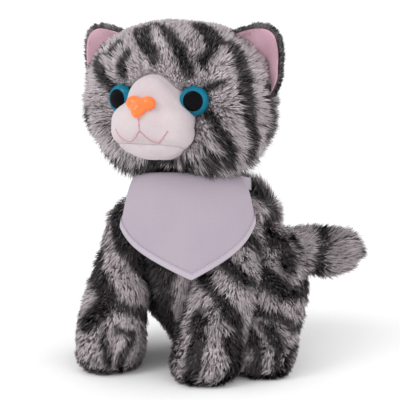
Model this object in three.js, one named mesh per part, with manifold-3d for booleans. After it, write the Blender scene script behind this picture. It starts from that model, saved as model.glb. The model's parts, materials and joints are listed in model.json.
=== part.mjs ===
// A plush tabby kitten that sits between four stuffed paws and wears a bandana.
// Millimetres, +Z up. The kitten faces -Y, so +X is its left side.
// Each soft part is a closed skin over a filling of its own, and every limb is sewn on at a
// soft seam that works as a small hinge. The skins are drawn to the middle of the fur's pile.
import * as THREE from "three";
import { mergeVertices } from "three/addons/utils/BufferGeometryUtils.js";
import Module from "manifold-3d";

const wasm = await Module();
wasm.setup();

// ---------------------------------------------------------------- driving dimensions
const PILE_SKIN = 3; // backing cloth and the lower half of the pile
const VELOUR = 1.4; // short-pile cloth of the muzzle
const GAP = 0.4; // clearance between neighbouring pieces
const ORIGIN_Y = 22.4; // the middle of the whole kitten lies this far behind the torso's middle

const HEAD = { y: -20, z: 142.3, width: 51.5, front: 27, back: 38, height: 39.2, power: 2.35 };
const NECK = { y: -8, z: 108, radius: 21 };

const EYE = { x: 20.8, y: -42.5, z: 141.6, radius: 7.6, dome: 4.6, stem: 1.9, stemLength: 8, splay: 14 };
const PUPIL = { radius: 4.7, seat: 1.8, crown: 1.2 };
const WASHER = { radius: 6, thickness: 1.2, bore: 2.3 };
const NOSE = { z: 140, washerDepth: 7.5, lobe: 4.3, spread: 4.6, drop: 6.2, stem: 1.6, stemLength: 11 };

const EAR = { length: 38, height: 25, fur: 3.2, lining: 1.2, fold: 20 };
const EAR_TOP = new THREE.Vector3(28, -21, 173);
const EAR_BOTTOM = new THREE.Vector3(51, -16, 143);
const EAR_TIP = new THREE.Vector3(59.5, -19, 175);

const FORELEG = { pivotX: 30, pivotY: -12, pivotZ: 76, forward: 6, backward: 2 };
const HIND_LEG = { pivotX: 34, pivotY: 14, pivotZ: 46, forward: 1, backward: 10 };
const TAIL = { pivotY: 46, pivotZ: 49, radius: 12.2, swing: 20 };

const LABEL = { x: -26.5, y: 43.5, z: 35, wide: 11, thick: 0.6, high: 13, turn: 34 };
const BANDANA = {
  y: -1, turn: 22, span: 40, wrap: 190, band: 6.5, corner: 18, drop: 50, topZ: 98.5,
  neck: 31, flareWide: 26, flareDeep: 18.8, lap: 3.2, cloth: 0.9, hem: 3.2, pad: 9,
};

// ---------------------------------------------------------------- solids and booleans
/** A closed geometry as a solid that can be joined and cut. */
function solid(geometry) {
  const bare = geometry.clone();
  bare.deleteAttribute("normal");
  bare.deleteAttribute("uv");
  const merged = mergeVertices(bare, 1e-4);
  return new wasm.Manifold(new wasm.Mesh({
    numProp: 3,
    vertProperties: new Float32Array(merged.attributes.position.array),
    triVerts: new Uint32Array(merged.index.array),
  }));
}

/** A solid back as a geometry. */
function surface(body) {
  const mesh = body.getMesh();
  const geometry = new THREE.BufferGeometry();
  geometry.setAttribute("position", new THREE.BufferAttribute(mesh.vertProperties, 3));
  geometry.setIndex(new THREE.BufferAttribute(mesh.triVerts, 1));
  geometry.computeVertexNormals();
  return geometry;
}

/** The largest of the separate bodies in a solid, for cuts that leave crumbs. */
function largest(body) {
  const pieces = body.decompose();
  return pieces.reduce((best, piece) => (piece.volume() > best.volume() ? piece : best));
}

const cut = (body, ...tools) => tools.reduce((rest, tool) => rest.subtract(tool), body);
const join = (...bodies) => bodies.reduce((whole, body) => whole.add(body));

/** The union of a body turned about a line through several angles. */
function swept(body, pivot, axis, degrees) {
  const place = new THREE.Vector3(...pivot);
  return join(...degrees.map((angle) => {
    const turn = new THREE.Matrix4().makeRotationAxis(axis, THREE.MathUtils.degToRad(angle));
    const about = new THREE.Matrix4().makeTranslation(...pivot)
      .multiply(turn)
      .multiply(new THREE.Matrix4().makeTranslation(-place.x, -place.y, -place.z));
    return body.transform(about.elements);
  }));
}

// ---------------------------------------------------------------- shapes
/** Rings of equal count, listed along the part, closed by a fan at each end. */
function loft(rings) {
  const count = rings[0].length;
  const middle = (ring) => ring.reduce((sum, point) => sum.add(point), new THREE.Vector3())
    .divideScalar(count);
  const points = [...rings.flat(), middle(rings[0]), middle(rings[rings.length - 1])];
  const first = rings.length * count;
  const index = [];
  for (let ring = 0; ring + 1 < rings.length; ring += 1) {
    for (let side = 0; side < count; side += 1) {
      const a = ring * count + side;
      const b = ring * count + ((side + 1) % count);
      index.push(a, b, b + count, a, b + count, a + count);
    }
  }
  for (let side = 0; side < count; side += 1) {
    const next = (side + 1) % count;
    const last = (rings.length - 1) * count;
    index.push(first, next, side, first + 1, last + side, last + next);
  }
  const geometry = new THREE.BufferGeometry().setFromPoints(points);
  geometry.setIndex(index);
  return geometry;
}

/** Flat ovals stacked upwards: each is [x, y, z, half width, half depth]. */
function ovals(levels, sides, grow = 0) {
  return loft(levels.map(([x, y, z, wide, deep]) => {
    const ring = [];
    for (let side = 0; side < sides; side += 1) {
      const angle = (2 * Math.PI * side) / sides;
      ring.push(new THREE.Vector3(
        x + Math.max(wide + grow, 0.4) * Math.cos(angle),
        y + Math.max(deep + grow, 0.4) * Math.sin(angle),
        z,
      ));
    }
    return ring;
  }));
}

/** The levels smoothed to more rings, with both ends moved by grow. */
function smooth(levels, steps, grow = 0) {
  const at = (field) => new THREE.SplineCurve(levels.map((level, i) => new THREE.Vector2(i, level[field])));
  const curves = [0, 1, 2, 3, 4].map(at);
  const lowest = levels[0][2] - grow;
  const highest = levels[levels.length - 1][2] + grow;
  return Array.from({ length: steps + 1 }, (_, step) => {
    const level = curves.map((curve) => curve.getPoint(step / steps).y);
    const share = step / steps;
    level[2] += (1 - share) * (lowest - levels[0][2]) + share * (highest - levels[levels.length - 1][2]);
    return level;
  });
}

/** A stuffed limb of stacked ovals, grown or shrunk all round. */
const limb = (levels, steps, sides, grow = 0) => solid(ovals(smooth(levels, steps, grow), sides, grow));

/** A rounded block between a ball and a box: power 2 is an ellipsoid, more is squarer. */
function pillow([x, y, z], [wide, front, back, high], power, sides, rings) {
  const geometry = new THREE.SphereGeometry(1, sides, rings);
  geometry.rotateX(Math.PI / 2);
  const place = geometry.attributes.position;
  for (let i = 0; i < place.count; i += 1) {
    const point = new THREE.Vector3().fromBufferAttribute(place, i);
    const size = (Math.abs(point.x) ** power + Math.abs(point.y) ** power + Math.abs(point.z) ** power)
      ** (-1 / power);
    place.setXYZ(
      i,
      x + point.x * size * wide,
      y + point.y * size * (point.y < 0 ? front : back),
      z + point.z * size * high,
    );
  }
  return solid(geometry);
}

/** A round part that tapers along a curve, closed at both ends. */
function sweep(curve, radiusAt, steps, sides) {
  const frames = curve.computeFrenetFrames(steps);
  const rings = [];
  for (let step = 0; step <= steps; step += 1) {
    const centre = curve.getPointAt(step / steps);
    const radius = radiusAt(step / steps);
    const ring = [];
    for (let side = 0; side < sides; side += 1) {
      const angle = (2 * Math.PI * side) / sides;
      ring.push(centre.clone()
        .addScaledVector(frames.normals[step], radius * Math.cos(angle))
        .addScaledVector(frames.binormals[step], radius * Math.sin(angle)));
    }
    rings.push(ring);
  }
  return solid(loft(rings));
}

/** A turned part from [radius, height] points, its axis along -Y with the front first. */
function turned(profile, sides) {
  const geometry = new THREE.LatheGeometry(profile.map(([r, h]) => new THREE.Vector2(r, h)), sides);
  geometry.rotateX(Math.PI);
  return geometry;
}

/** A plain round rod along the same axis, between two heights. */
const rod = (radius, high, low, sides) => solid(turned([[0, low], [radius, low], [radius, high], [0, high]], sides));

// ---------------------------------------------------------------- the model
const cat = new THREE.Group();
cat.position.y = -ORIGIN_Y;

const FUR = { color: 0x9a9095, roughness: 0.95, metalness: 0 };
const WADDING = { color: 0xf2f0ec, roughness: 1, metalness: 0 };
const SHORT_PILE = { color: 0xe1d7da, roughness: 0.9, metalness: 0 };
const PINK = { color: 0xcda5b4, roughness: 0.9, metalness: 0 };
const CLOTH = { color: 0xc0b8c8, roughness: 0.75, metalness: 0 };
const THREAD = { color: 0xc98f9a, roughness: 0.8, metalness: 0 };
const WHITE_PLASTIC = { color: 0xe8e6e0, roughness: 0.5, metalness: 0 };

function add(name, body, finish) {
  const geometry = body.isBufferGeometry ? body : surface(body);
  const mesh = new THREE.Mesh(geometry, new THREE.MeshStandardMaterial(finish));
  mesh.name = name;
  cat.add(mesh);
  return mesh;
}

const X_AXIS = new THREE.Vector3(1, 0, 0);
const Z_AXIS = new THREE.Vector3(0, 0, 1);
const NECK_PIVOT = [0, NECK.y, NECK.z];

// ---------------------------------------------------------------- head
const headBlock = (grow, sides = 26, rings = 15) => pillow(
  [0, HEAD.y, HEAD.z],
  [HEAD.width + grow, HEAD.front + grow, HEAD.back + grow, HEAD.height + grow],
  HEAD.power, sides, rings,
);
const ball = (radius, sides = 16, rings = 10) => pillow(
  NECK_PIVOT, [radius, radius, radius, radius], 2, sides, rings,
);

/** The muzzle's padded form: a narrow bridge, two cheeks and a chin. */
const MUZZLE_LOBES = [
  { x: 0, y: -42, z: 140.8, wide: 11.5, deep: 14, high: 13.6 },
  { x: -9.5, y: -46, z: 127, wide: 13, deep: 14.5, high: 11.5 },
  { x: 9.5, y: -46, z: 127, wide: 13, deep: 14.5, high: 11.5 },
  { x: 0, y: -46, z: 131.5, wide: 13, deep: 15.5, high: 12.5 },
  { x: 0, y: -44, z: 120.5, wide: 15, deep: 12.5, high: 8.5 },
];
const muzzleBlock = (grow, sides = 14, rings = 9) => join(...MUZZLE_LOBES.map((lobe) => pillow(
  [lobe.x, lobe.y, lobe.z],
  [lobe.wide + grow, lobe.deep + grow, lobe.deep + grow, lobe.high + grow],
  2, sides, rings,
)));

/** How far forward the muzzle's surface lies at a place seen from the front. */
function muzzleFront(x, z) {
  const fronts = MUZZLE_LOBES.map((lobe) => {
    const rest = 1 - ((x - lobe.x) / lobe.wide) ** 2 - ((z - lobe.z) / lobe.high) ** 2;
    return rest > 0 ? lobe.y - lobe.deep * Math.sqrt(rest) : 0;
  });
  return Math.min(...fronts);
}

/** A block that holds everything below a sloping plane through the mouth's corners. */
function belowMouth(shift) {
  const block = new THREE.BoxGeometry(80, 60, 40);
  block.rotateX(THREE.MathUtils.degToRad(-12));
  block.translate(0, -60, 101 + shift);
  return solid(block);
}

/** Where an eye sits: its group is placed on the face and turned outwards. */
function eyeFrame(side) {
  const frame = new THREE.Matrix4().makeTranslation(side * EYE.x, EYE.y, EYE.z);
  const turn = THREE.MathUtils.degToRad(side * EYE.splay);
  return frame.multiply(new THREE.Matrix4().makeRotationZ(turn));
}

/** A rounded rim of a dome from the edge to its crown, as profile points. */
function domeProfile(radius, height, steps) {
  return Array.from({ length: steps + 1 }, (_, step) => {
    const angle = (Math.PI / 2) * (step / steps);
    return [radius * Math.cos(angle), height * Math.sin(angle)];
  }).map(([r, h]) => [Math.max(r, 0), h]);
}

function eyeDome() {
  const rim = domeProfile(EYE.radius, EYE.dome, 8).filter(([r]) => r > PUPIL.radius + GAP);
  const seat = EYE.dome - PUPIL.seat;
  return turned([
    [0, -EYE.stemLength], [EYE.stem, -EYE.stemLength], [EYE.stem, -0.6], [EYE.radius, -0.6],
    ...rim, [PUPIL.radius + GAP / 2, seat], [0, seat],
  ], 20);
}

function eyePupil() {
  const radius = PUPIL.radius - GAP / 2;
  const seat = EYE.dome - PUPIL.seat + GAP / 2;
  const crown = domeProfile(radius, PUPIL.crown, 4).map(([r, h]) => [r, h + EYE.dome - PUPIL.crown]);
  return turned([[0, seat], [radius, seat], ...crown.slice(0, -1), [0, EYE.dome]], 20);
}

/** A push-on washer with a bore, in its owner's own frame. */
function washer(depth) {
  const { radius, thickness, bore } = WASHER;
  const low = -depth - thickness;
  return solid(turned([[bore, low], [radius, low], [radius, -depth], [bore, -depth], [bore, low]], 16));
}

const noseFront = muzzleFront(0, NOSE.z);
const noseFrame = new THREE.Matrix4().makeTranslation(0, noseFront + 0.6, NOSE.z)
  .multiply(new THREE.Matrix4().makeRotationX(THREE.MathUtils.degToRad(-10)));

/** The moulded nose: two upper lobes, a lower one, and the stem behind them. */
function noseBody() {
  const { lobe, spread, drop } = NOSE;
  const lobes = join(
    pillow([-spread, 0, 0], [lobe, 3.4, 3.4, lobe * 0.95], 2, 14, 9),
    pillow([spread, 0, 0], [lobe, 3.4, 3.4, lobe * 0.95], 2, 14, 9),
    pillow([0, 0, -drop * 0.5], [lobe * 0.95, 3.6, 3.6, lobe * 1.3], 2, 14, 9),
  ).transform(noseFrame.elements);
  const stem = rod(NOSE.stem, 0, -NOSE.stemLength, 14).transform(noseFrame.elements);
  return largest(join(lobes.subtract(muzzleBlock(GAP)), stem));
}

/** A thread that follows the muzzle's surface through [x, z] points. */
function muzzleThread(route) {
  const path = new THREE.CatmullRomCurve3(route.map(([x, z]) => new THREE.Vector3(x, muzzleFront(x, z) - 1, z)));
  return sweep(path, () => 0.45, 10, 6);
}

const headOuter = headBlock(0);
const headInner = headBlock(-PILE_SKIN, 16, 10);
const socket = ball(NECK.radius + 2 * GAP);
const muzzleOuter = muzzleBlock(0);
const muzzleInner = muzzleBlock(-VELOUR, 12, 7);
const atEyes = (tool) => [-1, 1].map((side) => tool.transform(eyeFrame(side).elements));
const eyePockets = atEyes(rod(EYE.radius + GAP, 14, -0.6 - GAP, 20));
const stemHoles = atEyes(rod(EYE.stem + GAP, 2, -EYE.stemLength, 12));
const washerRooms = atEyes(rod(WASHER.radius + GAP, 2, -EYE.stemLength - 1, 14));
const noseStemHole = rod(NOSE.stem + GAP, 2, -NOSE.stemLength, 12).transform(noseFrame.elements);
const noseRoom = rod(WASHER.radius + GAP, -4, -NOSE.stemLength - 1, 14).transform(noseFrame.elements);

add("head_skin", largest(cut(headOuter, headInner, socket, muzzleInner, ...eyePockets, ...stemHoles)), FUR);
add("head_stuffing", largest(cut(headBlock(-PILE_SKIN - 1.6, 18, 11), socket, ...washerRooms, noseRoom)), WADDING);

const muzzleShell = cut(muzzleOuter, muzzleInner, headBlock(GAP), ...eyePockets, noseStemHole);
add("muzzle_patch", largest(cut(muzzleShell, belowMouth(GAP / 2))), SHORT_PILE);
add("chin_panel", largest(muzzleShell.intersect(belowMouth(-GAP / 2))), SHORT_PILE);
add("muzzle_stuffing", largest(cut(muzzleBlock(-VELOUR - 0.8, 10, 6), headBlock(-PILE_SKIN, 16, 10), ...eyePockets, noseStemHole, noseRoom)), WADDING);

add("nose", noseBody(), { color: 0xf97b32, roughness: 0.25, metalness: 0 });
add("nose_washer", washer(NOSE.washerDepth).transform(noseFrame.elements), WHITE_PLASTIC);
add("mouth_thread", join(
  muzzleThread([[0, 132.5], [0, 130], [0, 127]]),
  muzzleThread([[0, 127.3], [4, 123.6], [8, 121.8], [11.5, 123.6], [15, 128]]),
  muzzleThread([[0, 127.3], [-4, 123.6], [-8, 121.8], [-11.5, 123.6], [-15, 128]]),
), THREAD);

for (const [side, word] of [[1, "left"], [-1, "right"]]) {
  const frame = eyeFrame(side).elements;
  add(`eye_${word}_iris`, solid(eyeDome()).transform(frame), { color: 0x0082a5, roughness: 0.15, metalness: 0 });
  add(`eye_${word}_pupil`, solid(eyePupil()).transform(frame), { color: 0x050506, roughness: 0.1, metalness: 0 });
  add(`eye_${word}_washer`, washer(4.6).transform(frame), WHITE_PLASTIC);
}

// ---------------------------------------------------------------- ears
/** A plate with the ear's outline: a rounded triangle that stands on its base line. */
function earPlate(height, halfBase, thickness, offset) {
  const outline = new THREE.Shape();
  outline.moveTo(-halfBase, -4);
  outline.lineTo(halfBase, -4);
  outline.quadraticCurveTo(halfBase * 1.02, height * 0.5, halfBase * 0.55, height * 0.84);
  outline.quadraticCurveTo(halfBase * 0.32, height, halfBase * 0.08, height);
  outline.quadraticCurveTo(-halfBase * 0.25, height * 0.98, -halfBase * 0.5, height * 0.72);
  outline.quadraticCurveTo(-halfBase * 0.95, height * 0.35, -halfBase, -4);
  const plate = new THREE.ExtrudeGeometry(outline, { depth: thickness, bevelEnabled: false, curveSegments: 6 });
  plate.translate(0, 0, offset);
  return solid(plate);
}

/** The ear's own frame: x along its base, y to its tip, z to its front. */
function earFrame(side) {
  const flip = (point) => new THREE.Vector3(side * point.x, point.y, point.z);
  const top = flip(EAR_TOP);
  const bottom = flip(EAR_BOTTOM);
  const base = top.clone().add(bottom).multiplyScalar(0.5);
  const along = (side > 0 ? bottom.clone().sub(top) : top.clone().sub(bottom)).normalize();
  const towardTip = flip(EAR_TIP).sub(base);
  const up = towardTip.addScaledVector(along, -towardTip.dot(along)).normalize();
  const front = along.clone().cross(up);
  return { base, along, frame: new THREE.Matrix4().makeBasis(along, up, front).setPosition(base) };
}

const foldAngles = [-1, -0.5, 0, 0.5, 1].map((share) => share * EAR.fold);
for (const [side, word] of [[1, "left"], [-1, "right"]]) {
  const { base, along, frame } = earFrame(side);
  const clear = swept(headBlock(GAP), base.toArray(), along, foldAngles);
  const mirrored = new THREE.Matrix4().makeScale(-side, 1, 1);
  const placed = frame.clone().multiply(mirrored).elements;
  const back = earPlate(EAR.height, EAR.length / 2, EAR.fur, -EAR.fur / 2);
  const front = earPlate(EAR.height - 2, EAR.length / 2 - 2, EAR.lining, EAR.fur / 2 + GAP);
  add(`ear_${word}_back`, largest(back.transform(placed).subtract(clear)), FUR);
  add(`ear_${word}_lining`, largest(front.transform(placed).subtract(clear)), PINK);
}

// ---------------------------------------------------------------- legs and tail
const FORELEG_LEVELS = [
  [23.5, -38, 0, 13.5, 15.5],
  [23.5, -38, 5, 16, 18],
  [24, -37, 14, 16.8, 18.2],
  [25.5, -33, 26, 15.6, 15.6],
  [28, -27, 42, 15, 14],
  [29.5, -20, 58, 15, 13.5],
  [30, -15.5, 71, 14.3, 12.8],
  [29.5, -14, 81, 10.5, 10],
  [29, -13, 87, 4, 4],
];
const HIND_LEG_LEVELS = [
  [48, -11, 0, 12, 14],
  [48, -11, 5, 14.5, 17],
  [48, -9.5, 15, 15.5, 19],
  [47, -3, 26, 15.5, 20.5],
  [45.5, 4.5, 38, 15.5, 22],
  [43, 10, 50, 15, 21],
  [39.5, 13, 62, 12.5, 18],
  [37, 14, 71, 8, 11],
  [36, 14, 75, 3, 4],
];

const mirrorX = new THREE.Matrix4().makeScale(-1, 1, 1).elements;
const onSide = (body, side) => (side > 0 ? body : body.transform(mirrorX));
const legAngles = [-FORELEG.forward, FORELEG.backward];
const hindAngles = [-HIND_LEG.forward, HIND_LEG.backward];

/** A leg's skin over its stuffing, open where it is sewn to the torso. */
function addLeg(kind, levels, opening) {
  const outer = limb(levels, 9, 16);
  const inner = limb(levels, 7, 12, -PILE_SKIN);
  const stuffing = limb(levels, 7, 10, -PILE_SKIN - 1.2);
  const mouth = pillow(opening, [8, 8, 8, 8], 2, 10, 6);
  for (const [side, word] of [[1, "left"], [-1, "right"]]) {
    add(`${kind}_${word}_skin`, onSide(largest(cut(outer, inner, mouth)), side), FUR);
    add(`${kind}_${word}_stuffing`, onSide(largest(stuffing), side), WADDING);
  }
}
const FORELEG_PIVOT = [FORELEG.pivotX, FORELEG.pivotY, FORELEG.pivotZ];
const HIND_PIVOT = [HIND_LEG.pivotX, HIND_LEG.pivotY, HIND_LEG.pivotZ];
addLeg("foreleg", FORELEG_LEVELS, [16, -14, 76]);
addLeg("hind_leg", HIND_LEG_LEVELS, [28, 10, 54]);

const tailRoute = new THREE.CatmullRomCurve3([
  [0, 40, 50], [3, 56, 49], [16, 78, 47], [38, 93, 46], [60, 99, 45],
].map((point) => new THREE.Vector3(...point)));
const tailRadius = (shrink) => (share) => {
  const rounding = Math.min(1, Math.sqrt(Math.max(0, 1 - ((share - 0.86) / 0.14) ** 2)) || 1);
  const tip = share > 0.86 ? rounding : 1;
  return Math.max(0.6, (TAIL.radius - 0.6 * share) * (share > 0.995 ? 0.1 : tip) - shrink);
};
const tailRoot = pillow([0, 36, 50], [16, 16, 16, 16], 2, 12, 8);
const tailOuter = sweep(tailRoute, tailRadius(0), 12, 16).subtract(tailRoot);
const shortTail = new THREE.CatmullRomCurve3(tailRoute.getPoints(24).slice(0, 24));
add("tail_skin", largest(cut(tailOuter, sweep(shortTail, tailRadius(PILE_SKIN), 9, 12))), FUR);
add("tail_stuffing", largest(sweep(shortTail, tailRadius(PILE_SKIN + 1), 8, 10).subtract(tailRoot)), WADDING);

// ---------------------------------------------------------------- torso
const TORSO_LEVELS = [
  [0, 19, 0, 15, 16],
  [0, 19, 5, 18.5, 21],
  [0, 17, 14, 22.5, 27],
  [0, 13, 26, 31, 35],
  [0, 11, 38, 38, 41],
  [0, 10, 50, 41, 45],
  [0, 12, 64, 42, 45.5],
  [0, 12, 76, 41.5, 43.5],
  [0, 7, 86, 36.5, 37.5],
  [0, -1, 92, 26, 27],
  [0, -3, 97, 14, 15],
];
const foreSweep = swept(limb(FORELEG_LEVELS, 6, 10, 1.8), FORELEG_PIVOT, X_AXIS, legAngles);
const hindSweep = swept(limb(HIND_LEG_LEVELS, 6, 10, 1.8), HIND_PIVOT, X_AXIS, hindAngles);
const tailSweep = swept(
  sweep(tailRoute, tailRadius(-1.2), 7, 12), [0, TAIL.pivotY, TAIL.pivotZ], Z_AXIS,
  [-TAIL.swing, 0, TAIL.swing],
);
const moving = [foreSweep, onSide(foreSweep, -1), hindSweep, onSide(hindSweep, -1), tailSweep];
const torsoOuter = limb(TORSO_LEVELS, 13, 24);
const torsoInner = limb(TORSO_LEVELS, 10, 16, -PILE_SKIN);
const pelletBag = pillow([0, 12, 44], [18, 20, 20, 8], 2.4, 16, 10);
const pelletRoom = solid(ovals([[0, 12, 20, 21, 23], [0, 12, 53, 21, 23]], 12));
add("torso_skin", largest(cut(torsoOuter, torsoInner, socket, ...moving)), FUR);
add("torso_stuffing", largest(cut(
  limb(TORSO_LEVELS, 9, 14, -PILE_SKIN - 2), socket, ...moving, pelletRoom,
)), WADDING);
add("pellet_bag", pelletBag, { color: 0xd9d2c4, roughness: 0.9, metalness: 0 });
add("neck_stuffing", ball(NECK.radius), WADDING);

/** The hand-sewn seam that closes the torso, down the middle of the back. */
const backRoute = smooth(TORSO_LEVELS, 24)
  .filter(([, , z]) => z > 64 && z < 88)
  .map(([, y, z, , deep]) => new THREE.Vector3(0, y + deep + 0.9, z));
add("closing_seam", sweep(new THREE.CatmullRomCurve3(backRoute), () => 0.5, 6, 6), THREAD);

const label = new THREE.BoxGeometry(LABEL.wide, LABEL.thick, LABEL.high);
label.rotateZ(THREE.MathUtils.degToRad(LABEL.turn));
label.translate(LABEL.x, LABEL.y, LABEL.z);
add("care_label", solid(label), { color: 0xf4f2f0, roughness: 0.7, metalness: 0 });

// ---------------------------------------------------------------- bandana
/** A closed sheet on a grid: placeAt gives [angle, drop, stand-off] across and down the cloth. */
function clothSheet(across, down, thickness, placeAt) {
  const point = (u, v, out) => {
    const [angle, drop, off] = placeAt(u / across, v / down);
    const turn = THREE.MathUtils.degToRad(angle + BANDANA.turn);
    const share = drop / BANDANA.drop;
    const wide = BANDANA.neck + BANDANA.flareWide * share ** 0.4 + off + out;
    const deep = BANDANA.neck + BANDANA.flareDeep * share ** 0.7 + off + out;
    const behind = Math.abs(angle) > 90;
    const halfWide = behind ? BANDANA.neck + off + out : wide;
    const halfDeep = behind ? BANDANA.neck + off + out : deep;
    return new THREE.Vector3(halfWide * Math.sin(turn), BANDANA.y - halfDeep * Math.cos(turn), BANDANA.topZ - drop);
  };
  const rings = [];
  for (let u = 0; u <= across; u += 1) {
    const ring = [];
    for (let v = 0; v <= down; v += 1) ring.push(point(u, v, thickness));
    for (let v = down; v >= 0; v -= 1) ring.push(point(u, v, 0));
    rings.push(ring);
  }
  return solid(loft(rings));
}

/** How far the cloth hangs at an angle: a pointed shield with round corners, then a band. */
function dropAt(angle) {
  const share = Math.abs(angle) / BANDANA.span;
  if (share < 1) return BANDANA.corner + (BANDANA.drop - BANDANA.corner) * (1 - 0.4 * share - 0.6 * share ** 2.4);
  const narrowing = Math.min(1, (share - 1) / 0.16);
  return BANDANA.corner + (BANDANA.band - BANDANA.corner) * Math.sin((narrowing * Math.PI) / 2);
}

/** How far the band's ends stand off so that one laps over the other behind the neck. */
const lapAt = (angle) => (BANDANA.lap / 2) * Math.sign(angle)
  * Math.min(1, Math.max(0, (Math.abs(angle) - 150) / 14));

add("bandana_cloth", clothSheet(42, 3, BANDANA.cloth, (u, v) => {
  const angle = (2 * u - 1) * BANDANA.wrap;
  return [angle, v * dropAt(angle), lapAt(angle)];
}), CLOTH);
add("bandana_hem", clothSheet(22, 1, 0.7, (u, v) => {
  const angle = (2 * u - 1) * BANDANA.span;
  return [angle, dropAt(angle) - (1 - v) * BANDANA.hem, BANDANA.cloth + GAP];
}), CLOTH);
const padSpan = THREE.MathUtils.radToDeg(BANDANA.pad / BANDANA.neck);
const padInside = BANDANA.cloth - BANDANA.lap / 2 + 0.3;
for (const [name, off] of [["closure_loop_pad", padInside], ["closure_hook_pad", padInside + 0.9]]) {
  add(name, clothSheet(3, 1, 0.5, (u, v) => [
    180 + (u - 0.5) * padSpan, 0.8 + v * (BANDANA.band - 1.6), off,
  ]), WHITE_PLASTIC);
}

export default cat;
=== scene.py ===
"""A plush tabby kitten in a bandana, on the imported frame. Metres; lengths named in millimetres use MM."""

import json
import math

import bmesh
import bpy
import numpy as np
from mathutils import Matrix, Vector
from mathutils.bvhtree import BVHTree
from mathutils.kdtree import KDTree


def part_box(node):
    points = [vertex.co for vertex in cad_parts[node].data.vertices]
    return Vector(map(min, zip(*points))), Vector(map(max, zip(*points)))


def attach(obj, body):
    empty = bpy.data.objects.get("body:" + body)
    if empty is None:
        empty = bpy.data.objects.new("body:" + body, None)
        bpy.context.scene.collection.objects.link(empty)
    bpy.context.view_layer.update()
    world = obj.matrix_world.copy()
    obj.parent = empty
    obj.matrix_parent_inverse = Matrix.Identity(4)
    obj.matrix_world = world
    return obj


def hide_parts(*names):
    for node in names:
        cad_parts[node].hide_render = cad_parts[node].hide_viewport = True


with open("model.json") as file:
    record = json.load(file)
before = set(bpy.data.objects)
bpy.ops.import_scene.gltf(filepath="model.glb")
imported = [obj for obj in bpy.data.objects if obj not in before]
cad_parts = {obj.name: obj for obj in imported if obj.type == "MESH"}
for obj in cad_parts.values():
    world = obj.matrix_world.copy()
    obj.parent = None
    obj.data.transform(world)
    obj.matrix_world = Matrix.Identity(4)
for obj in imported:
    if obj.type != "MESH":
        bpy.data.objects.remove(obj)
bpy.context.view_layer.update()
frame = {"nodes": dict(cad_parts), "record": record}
MM = 0.001
JOINTS = {joint["name"]: joint for joint in frame["record"]["behaviour"]["joints"]}
SIDES = (("left", 1), ("right", -1))  # the kitten's own left is +X
FRONT = Vector((0, -1, 0))  # the way it faces

# ---------------------------------------------------------------- driving values
# Angles in degrees, the distance in metres and the lens in millimetres.
CAMERA = {"azimuth": 26.0, "elevation": 8.0, "distance": 0.650, "lens": 109.35}
TARGET = Vector((3 * MM, -22.4 * MM, 86 * MM))
# Round lamps: name, place, size in metres and power in watts.
LAMPS = [
    ("key", (-0.35, -0.75, 0.75), 0.5, 2.6),
    ("fill", (0.75, -0.5, 0.35), 0.7, 0.8),
    ("back", (0.3, 0.8, 0.7), 0.6, 0.6),
]
SKY = 1.05  # the strength of the white surroundings
FLOOR_REACH = 60.0

BASE_INSET = 2.6 * MM  # the cloth under the pile lies this far inside the CAD skin
PILE_WIDTH = 0.62 * MM  # a tuft of fibres at its widest
TONES = 10  # shades of fibre from the dark stripes to the pale ground
DARKEST = (0.012, 0.010, 0.011)
PALEST = (0.68, 0.60, 0.63)
FLOOR_GAP = 0.3 * MM  # cloth and pile stay this far above the floor

# Stripes are brush strokes: (half width, [(azimuth, height), ...]). Azimuth is in degrees round the
# piece, 0 to the front and positive to the kitten's left.
# On the head the height is in degrees above its middle and widths are in degrees.
HEAD_STROKES = [
    (4.3, [(-28, 58), (-13, 43), (-6, 38), (-1, 31)]),
    (3.6, [(-22, 30), (-23, 20)]),
    (3.2, [(-37, 40), (-38, 32)]),
    (3.5, [(-23, 66), (2, 56), (13, 43), (18, 32), (22, 20)]),
    (6.9, [(42, 62), (44, 50), (44, 42)]),
    (3.5, [(44, 42), (36, 32), (31, 26)]),
    (5.8, [(56, 38), (55, 24), (58, 8), (62, -9), (71, -24), (81, -38)]),
    (4.5, [(38, -10), (43, -19), (49, -28), (56, -42)]),
    (3.9, [(-51, 26), (-40, 17), (-33, 8)]),
    (5.8, [(-84, -20), (-70, -38), (-48, -48), (-20, -55), (8, -57)]),
    (4.5, [(24, -47), (30, -62)]),
    (5.2, [(40, -38), (48, -56)]),
    (5.6, [(86, 12), (90, -6), (94, -24)]),
    (2.4, [(32, 11), (42, 11)]),
    (4.8, [(-64, 36), (-70, 18), (-82, 4), (-90, -12)]),
    (4.3, [(-56, -8), (-62, -20), (-70, -30)]),
]
# On legs the height is in millimetres above the ground and widths are in millimetres.
FORELEG_LEFT_STROKES = [
    (3.1, [(-52, 59), (-5, 50), (34, 42), (65, 33), (85, 20), (100, 6)]),
    (2.8, [(0, 64), (44, 55), (86, 49)]),
    (3.5, [(-10, 80), (49, 72), (95, 66)]),
    (4.2, [(-4, 34), (10, 22), (14, 8), (14, 1)]),
    (3.5, [(-66, 44), (-58, 26), (-50, 12)]),
    (2.8, [(60, 24), (84, 13), (80, 4)]),
    (3.5, [(150, 60), (180, 52), (-140, 44)]),
    (3.1, [(140, 34), (180, 27), (-140, 20)]),
]
FORELEG_RIGHT_STROKES = [
    (5.0, [(-74, 66), (-50, 54), (-32, 44), (-4, 38), (-20, 31), (-40, 25)]),
    (3.4, [(4, 37), (42, 34), (96, 29)]),
    (5.6, [(-20, 78), (3, 69), (27, 62), (63, 54), (98, 47)]),
    (1.5, [(-8, 23), (1, 13), (1, 6)]),
    (2.4, [(14, 24), (44, 21), (34, 13), (34, 5)]),
    (3.2, [(-80, 36), (-90, 20), (-84, 8)]),
    (4.5, [(150, 60), (180, 52), (-140, 44)]),
    (4.0, [(130, 34), (180, 24), (-130, 18)]),
]
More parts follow.
